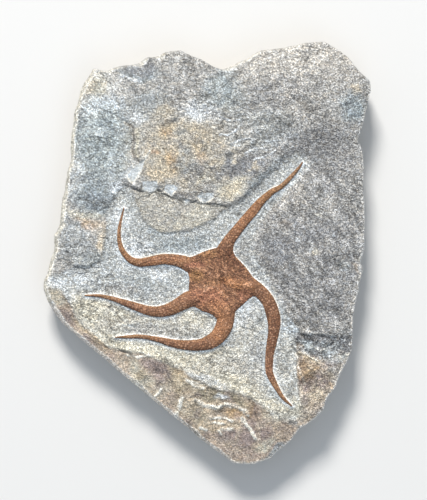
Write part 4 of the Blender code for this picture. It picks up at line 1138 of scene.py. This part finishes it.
# Crest line, height and half width
DISC_CRESTS = (
    (((-5.1, -4.7), (-0.3, -6.4), (4.4, -9.4)), 0.3, 0.8),
    (((0.2, -4.6), (3.4, -7.2), (5.6, -9.6)), 0.2, 0.6),
    (((7.4, -1.8), (6.9, -5.4), (6.4, -8.6)), 0.15, 0.7),
    (((8.5, -10.8), (12.5, -11.3), (16.7, -12.6)), 0.25, 0.9),
    (((-4, -12.8), (-1, -12.6), (1, -12)), 0.2, 0.7),
    (((-1.9, -14.6), (2.4, -12.7), (5.2, -14.4), (7.2, -16.7), (9, -19.6)), 0.25, 0.7),
    (((-5.1, -17.3), (-0.3, -18.4), (4, -21.4)), 0.2, 0.7),
    (((8.8, -13.8), (10.6, -15.6), (12.8, -17.4)), 0.2, 0.6),
)


def plates(place, xy, width):
    """Scaly plates: their relief in millimetres and how pale each spot of them is, from 0 to 1."""
    shifted = place + (0.5 * (np.floor(place[:, 1]) % 2))[:, None] * (1, 0)
    first, second, number = cellular(shifted + 0.22 * drift(xy, 1.1, 82), 85, 0.75)
    gap = smoothstep((second - first) / 0.3)
    dome = clamp(1 - (first / 0.62) ** 2)
    strength = np.clip(width / FULL_WIDTH, 0.35, 1)
    relief = strength * (0.17 * gap * (0.45 + 0.55 * dome) * (0.6 + 0.8 * number) - 0.07)
    # paleness follows the relief: partly the plates' own pale tops and dark gaps, partly painted highlight
    # on the tops and painted shade in the gaps
    pale = gap * (0.3 + 0.7 * dome) * (0.25 + 0.75 * number)
    return relief + 0.05 * fractal(xy, 0.7, 83, 2), pale


def star_tint(xy, pale):
    """Rust brown, with orange and darker clouds, pale plates and dark gaps between them, and painted light
    and shade along its edges.
    """
    clouds = 1.8 * fractal(xy, 4, 91)
    colour = paint(
        plain("calcite", len(xy)), ("gold", 0.4 * clamp(clouds)), ("umber", 0.3 * clamp(-clouds)),
    )
    colour = paint_stains(colour, STAR_STAINS, xy + 0.8 * drift(xy, 2, 92))
    # painted highlight: gold on edges facing north toward the light; painted shade: umber on edges facing
    # south
    depth = to_outline(xy, STAR_OUTLINE)[0]
    facing = smoothstep(1 + depth / 1.1) * np.clip(edge_facing(xy, depth, NORTH), -1, 1)
    dark = 0.65 * smoothstep(1 - pale / 0.3) + 0.6 * clamp(-facing) ** 2
    return paint(
        colour, ("gold", 0.7 * clamp(facing)), ("umber", dark),
        ("orange", 0.35 * smoothstep((pale - 0.3) / 0.3)),
        ("pink", 0.34 * smoothstep((pale - 0.5) / 0.4)),
    )


def add_star_piece(node, upper, pale, under, grain, faces, material):
    """A piece of the star: its visible top, and the corners at the foot of its sides."""
    parts = [
        (upper, star_tint(upper[:, :2], pale), grain),
        (under, star_tint(under[:, :2], np.zeros(len(under))), grain),
    ]
    add_piece("fossil_" + node, node, parts, faces, material)


def crown(across, sharp):
    """Cross-section of an arm or a petal: 1 on its middle, 0 at its edges."""
    return clamp(1 - across**2) ** sharp


def arm_spacing():
    """Places of an arm's columns from edge to edge, closer together near the edges."""
    reach = math.pi / 2 * ARM_ARC
    return np.sin(np.linspace(-1, 1, ARM_COLUMNS) * reach) / math.sin(reach)


def build_arm(name, arm, material):
    left, right, along = arm_curves(arm, STAR_STEP)
    across = np.tile(arm_spacing(), len(left))
    left, right = (np.repeat(line, ARM_COLUMNS, axis=0) for line in (left, right))
    along = np.repeat(along, ARM_COLUMNS)
    width = np.hypot(*(left - right).T)
    xy = (left + right) / 2 - (left - right) / 2 * across[:, None]
    place = np.column_stack((along / PLATE_LENGTH, across * width / 2 / PLATE_WIDTH))
    relief, pale = plates(place, xy, width)
    rise = (ARM_CROWN_MIN + ARM_CROWN * width) * crown(across, lerp(1.0, 0.62, smoothstep(along / 4)))
    relief *= smoothstep((1.02 - np.abs(across)) / 0.12)
    upper = np.column_stack((xy, STAR_EDGE_Z + rise + relief))
    grid = np.arange(len(upper)).reshape(-1, ARM_COLUMNS)
    under = upper[grid[:, (0, -1)].ravel()]
    under[:, 2] = STAR_EDGE_Z - STAR_SKIRT
    foot = len(upper) + np.arange(len(under)).reshape(-1, 2)
    around = np.column_stack((foot[:, 0], grid, foot[:, 1])).tolist()
    faces = [tuple(reversed(around[0])), tuple(around[-1])]
    for a, b in zip(around, around[1:]):
        faces += ring_faces(a, b)
    add_star_piece(name, upper, pale, under, ARM_GRAIN, faces, material)


def arm_frame(arm):
    """Direction from the disc's centre to an arm's seam, the way there and the seam's width."""
    left, right = np.array(arm["base"])
    seam = (left + right) / 2 - DISC_CENTRE
    length = np.hypot(*seam)
    return seam / length, length, np.hypot(*(left - right))


def disc_folds(xy, angle):
    """Folds that fan out from the mouth toward the arms, up to 1 on their crests."""
    flow = np.zeros(len(xy))
    shares = np.full(len(xy), 1e-6)
    bent = xy + 0.5 * drift(xy, 2, 95)
    for index, arm in enumerate(ARMS.values()):
        x, y = arm_frame(arm)[0]
        turn = math.atan2(y, x)
        closeness = smoothstep(1.2 * np.cos(angle - turn))
        folds = streaked(bent, math.degrees(turn), 2.4, 1.15, 130 + index)
        flow += closeness * (1 - 3 * np.abs(folds))
        shares += closeness
    return flow / shares


def disc_surface(xy, free_edges):
    """Height of the disc above its edge, and how pale its plates are."""
    to_free = np.min([to_line(xy, edge) for edge in free_edges], axis=0)
    rise = DISC_RISE * smoothstep(to_free / 1.4)
    away = xy - DISC_CENTRE
    radius = np.hypot(*away.T)
    angle = np.arctan2(away[:, 1], away[:, 0])
    place = np.column_stack((radius, angle * np.maximum(radius, 2))) / DISC_PLATES
    relief, pale = plates(place, xy, np.full(len(xy), FULL_WIDTH))
    flow = disc_folds(xy, angle)
    crest = np.zeros(len(xy))
    bent = xy + 0.5 * drift(xy, 1.5, 96)
    for line, height, half in DISC_CRESTS:
        nearby = near_line(bent, line, half)
        rise += height * nearby
        crest = np.maximum(crest, nearby)
    fine = fractal(xy, 0.55, 87, 2)
    relief = 0.6 * relief + 0.1 * fractal(xy, 1.8, 86) + 0.14 * flow + 0.09 * fine
    # raised folds and crests are paler, partly as painted highlight
    pale = clamp(0.3 * pale + 0.5 * flow + 0.45 * fine + 0.45 * crest + 0.17)

    # Petals: ridges that widen toward the arms and take over their plates at the seams
    form = np.zeros(len(xy))
    for petal, arm in zip(PETALS, ARMS.values()):
        outward, length, width = arm_frame(arm)
        along = away @ outward
        side = away @ (-outward[1], outward[0])
        half = lerp(PETAL_NARROW, width / 2, along / length)
        across = side / np.maximum(half, 0.1)
        inside = (along > 0) & (np.abs(across) < 1)
        near_seam = smoothstep((along / length - 0.5) / 0.5) * inside
        top = (ARM_CROWN_MIN + ARM_CROWN * width) * smoothstep((along / length + 0.1) / 0.6)
        ridge = lerp(petal, 1.0, near_seam) * top * crown(across, 1.0)
        arm_place = np.column_stack(((along - length) / PLATE_LENGTH, -side / PLATE_WIDTH))
        arm_relief, arm_pale = plates(arm_place, xy, 2 * half)
        relief = lerp(relief, arm_relief, near_seam)
        pale = lerp(pale, arm_pale, near_seam)
        rise = np.where(inside, (rise**4 + ridge**4) ** 0.25, rise)
        ramp = smoothstep(along / length * 2.5)
        form = np.maximum(form, petal * inside * crown(across, 2.0) * ramp)
    rise -= MOUTH_DEPTH * (1 - smoothstep(radius / MOUTH_RADIUS))
    # the middles of the petals are paler, partly as painted highlight
    pale = clamp(pale + 0.3 * form - 0.2)
    return rise + relief * smoothstep(to_free / 0.4), pale


def build_disc(material):
    share = (1 + arm_spacing()) / 2
    loop = []
    free_edges = []
    arms = list(ARMS.values())
    for number, arm in enumerate(arms):
        left, right = np.array(arm["base"])
        free = disc_free_edge(number, STAR_STEP)
        loop += [left + (right - left) * share[:, None], free]
        next_corner = arms[(number + 1) % len(arms)]["base"][0]
        free_edges.append(np.vstack((right, free[3:-3:5], next_corner)))
    loop = np.vstack(loop)
    grid = jittered_grid(loop.min(0), loop.max(0), STAR_STEP, 5)
    grid = grid[to_outline(grid, loop)[0] < -0.1]
    xy = np.vstack((loop, grid))
    rise, pale = disc_surface(xy, free_edges)
    upper = np.column_stack((xy, STAR_EDGE_Z + rise))
    count = len(loop)
    under = np.column_stack((loop, np.full(count, STAR_EDGE_Z - STAR_SKIRT)))
    feet = list(range(len(xy), len(xy) + count))
    faces = triangulate(loop, grid) + ring_faces(list(range(count)), feet) + [tuple(feet)]
    add_star_piece("central_disc", upper, pale, under, DISC_GRAIN, faces, material)


# ---------------- materials

GRAIN_TURN = -0.2      # direction in which the grains are drawn out, in radians, and by how much
GRAIN_STRETCH = 1.6
GRAIN_MIDDLE = 1.36    # mean of the grains' weighted sum, where they leave the tint as it is
GRAIN_LIMIT = 2.2      # brightest grain, as a multiple of the tint
WARM_HUE = (1.12, 0.96, 0.74, 1)
COOL_HUE = (0.86, 0.98, 1.16, 1)
BUMP_STRENGTH = 0.8


def new_material(name):
    material = bpy.data.materials.new(name)
    material.use_nodes = True
    tree = material.node_tree
    return material, tree, tree.nodes["Principled BSDF"]


def add_node(tree, kind, inputs, **settings):
    """A shader node, each of its inputs set to a value or linked to another node's output."""
    node = tree.nodes.new("ShaderNode" + kind)
    for name, value in settings.items():
        setattr(node, name, value)
    for name, value in inputs.items():
        if isinstance(value, bpy.types.NodeSocket):
            tree.links.new(value, node.inputs[name])
        else:
            node.inputs[name].default_value = value
    return node.outputs


def noise_value(tree, place, scale, detail, roughness=0.5):
    """A noise texture's value, at a scale in bumps per metre."""
    inputs = {"Vector": place, "Scale": scale, "Detail": detail, "Roughness": roughness}
    return add_node(tree, "TexNoise", inputs)["Fac"]


def crystals(tree, place, scale):
    """Three random numbers for each grain of a pattern of cells, at a scale in grains per metre."""
    cells = add_node(tree, "TexVoronoi", {"Vector": place, "Scale": scale})
    return add_node(tree, "SeparateColor", {"Color": cells["Color"]})


def spread(tree, value, low, high, to_low, to_high):
    """Map a value from one range to another, clamped."""
    limits = {"From Min": low, "From Max": high, "To Min": to_low, "To Max": to_high}
    return add_node(tree, "MapRange", {"Value": value, **limits})["Result"]


def combine(tree, operation, first, second):
    """A math node on two values, either of which may be a number."""
    return add_node(tree, "Math", {0: first, 1: second}, operation=operation)[0]


def weighted(tree, terms):
    """Sum of values, each times its number."""
    total = 0.0
    for value, weight in terms:
        total = combine(tree, "ADD", total, combine(tree, "MULTIPLY", value, weight))
    return total


def tinted(tree, colour, factor, share=1.0):
    """A colour multiplied by another one, as far as the share says."""
    inputs = {0: share, 6: colour, 7: factor}
    return add_node(tree, "Mix", inputs, data_type="RGBA", blend_type="MULTIPLY")[2]


def hairlines(tree, place):
    """Thin broken lines, from 0 to 1."""
    bands = combine(tree, "SUBTRACT", noise_value(tree, place, 190, 4.0, 0.6), 0.5)
    away = combine(tree, "ABSOLUTE", bands, 0)
    patches = spread(tree, noise_value(tree, place, 70, 2.0), 0.48, 0.6, 0.0, 1.0)
    return combine(tree, "MULTIPLY", spread(tree, away, 0.0, 0.035, 1.0, 0.0), patches)


def surface_material(name, scales, contrast, cracked, warmth, bump_depth, roughness, specular):
    """Granular stone: the tint comes from the mesh, the grains, their hues and the bump from noise."""
    material, tree, shader = new_material(name)
    place = tree.nodes.new("ShaderNodeTexCoord").outputs["Object"]
    tint = add_node(tree, "Attribute", {}, attribute_name="tint")
    turn = {"Vector": place, "Rotation": (0, 0, GRAIN_TURN), "Scale": (GRAIN_STRETCH, 1, 1)}
    drawn = add_node(tree, "Mapping", turn, vector_type="TEXTURE")["Vector"]
    fine_scale, coarse_scale = scales
    small = crystals(tree, place, fine_scale)
    large = crystals(tree, drawn, coarse_scale)
    fine = noise_value(tree, drawn, fine_scale * 0.8, 2.0, 0.65)
    medium = noise_value(tree, drawn, coarse_scale, 2.0, 0.6)
    broad = noise_value(tree, drawn, coarse_scale * 0.5, 3.0, 0.6)

    # Light and dark grains, and hairlines between them
    grain = weighted(tree, ((small[0], 1.1), (large[0], 0.22), (fine, 0.95), (broad, 0.3)))
    grain = combine(tree, "SUBTRACT", grain, GRAIN_MIDDLE)
    strength = combine(tree, "MULTIPLY", tint["Alpha"], contrast)
    value = combine(tree, "POWER", math.e, combine(tree, "MULTIPLY", grain, strength))
    value = combine(tree, "MINIMUM", value, GRAIN_LIMIT)
    lines = combine(tree, "MULTIPLY", hairlines(tree, drawn), cracked)
    value = combine(tree, "MULTIPLY", value, combine(tree, "SUBTRACT", 1.0, lines))
    grey = add_node(tree, "CombineColor", {0: value, 1: value, 2: value})["Color"]
    colour = tinted(tree, tint["Color"], grey)

    # Warm and cool grains, their gloss and the bump
    hue = weighted(tree, ((large[1], 0.5), (small[2], 0.5)))
    colour = tinted(tree, colour, WARM_HUE, spread(tree, hue, 0.5, 1.0, 0.0, warmth))
    colour = tinted(tree, colour, COOL_HUE, spread(tree, hue, 0.5, 0.0, 0.0, warmth))
    tree.links.new(colour, shader.inputs["Base Color"])
    tree.links.new(spread(tree, small[1], 0.0, 1.0, *roughness), shader.inputs["Roughness"])
    shader.inputs["Specular IOR Level"].default_value = specular
    height = weighted(tree, ((fine, 0.6), (medium, 0.85), (broad, 0.65), (lines, -1.0)))
    relief = {"Strength": BUMP_STRENGTH, "Distance": bump_depth, "Height": height}
    tree.links.new(add_node(tree, "Bump", relief)["Normal"], shader.inputs["Normal"])
    return material


def floor_material():
    material, _, shader = new_material("pale_floor")
    shader.inputs["Base Color"].default_value = (0.78, 0.78, 0.77, 1)
    shader.inputs["Roughness"].default_value = 0.9
    return material


# ---------------- studio

VIEW_HEIGHT = 187.5    # height of the framed area at the fossil's level
VIEW_CENTRE = (2.34, 1.22)
CAMERA_DISTANCE = 1000.0
FOCUS_LEVEL = 17.0
FLOOR_REACH = 3.0
# Name, place and size in metres, power, colour
LIGHTS = (
    ("key_light", (-0.35, 1.75, 1.6), 0.6, 64, (1.0, 0.965, 0.92)),
    ("fill_light", (0.6, -1.2, 2.2), 1.6, 8, (0.80, 0.90, 1.0)),
)
SKY = (0.84, 0.91, 1.0, 1)
SKY_STRENGTH = 0.42


def build_floor():
    mesh = bpy.data.meshes.new("studio_floor")
    corners = [(x * FLOOR_REACH, y * FLOOR_REACH, 0) for x, y in ((-1, -1), (1, -1), (1, 1), (-1, 1))]
    mesh.from_pydata(corners, [], [(0, 1, 2, 3)])
    mesh.materials.append(floor_material())
    floor = add_object("studio_floor", mesh)


def build_lights():
    for name, spot, size, power, colour in LIGHTS:
        light = bpy.data.lights.new(name, "AREA")
        light.shape = "SQUARE"
        light.size = size
        light.energy = power
        light.color = colour
        lamp = add_object(name, light, spot)
        lamp.rotation_euler = Vector(spot).to_track_quat("Z", "Y").to_euler()
    world = bpy.data.worlds.new("studio")
    world.use_nodes = True
    backdrop = world.node_tree.nodes["Background"]
    backdrop.inputs["Color"].default_value = SKY
    backdrop.inputs["Strength"].default_value = SKY_STRENGTH
    bpy.context.scene.world = world


def build_camera():
    lens = bpy.data.cameras.new("camera")
    lens.sensor_width = 36
    lens.lens = lens.sensor_width * CAMERA_DISTANCE / VIEW_HEIGHT
    lens.clip_start = 0.01
    lens.clip_end = 20
    spot = Vector((*VIEW_CENTRE, CAMERA_DISTANCE + FOCUS_LEVEL)) * MM
    bpy.context.scene.camera = add_object("camera", lens, spot)
    bpy.context.scene.view_settings.view_transform = "Standard"


limestone = surface_material(
    "limestone_surface", scales=(2800, 1300), contrast=1.4, cracked=0.5, warmth=0.4,
    bump_depth=0.0006, roughness=(0.95, 0.75), specular=0.3,
)
calcite = surface_material(
    "fossil_surface", scales=(2800, 1700), contrast=1.2, cracked=0.0, warmth=0.3,
    bump_depth=0.0004, roughness=(0.75, 0.5), specular=0.35,
)
build_slab(limestone)
build_disc(calcite)
for arm_name, arm_shape in ARMS.items():
    build_arm(arm_name, arm_shape, calcite)
build_floor()
build_lights()
build_camera()
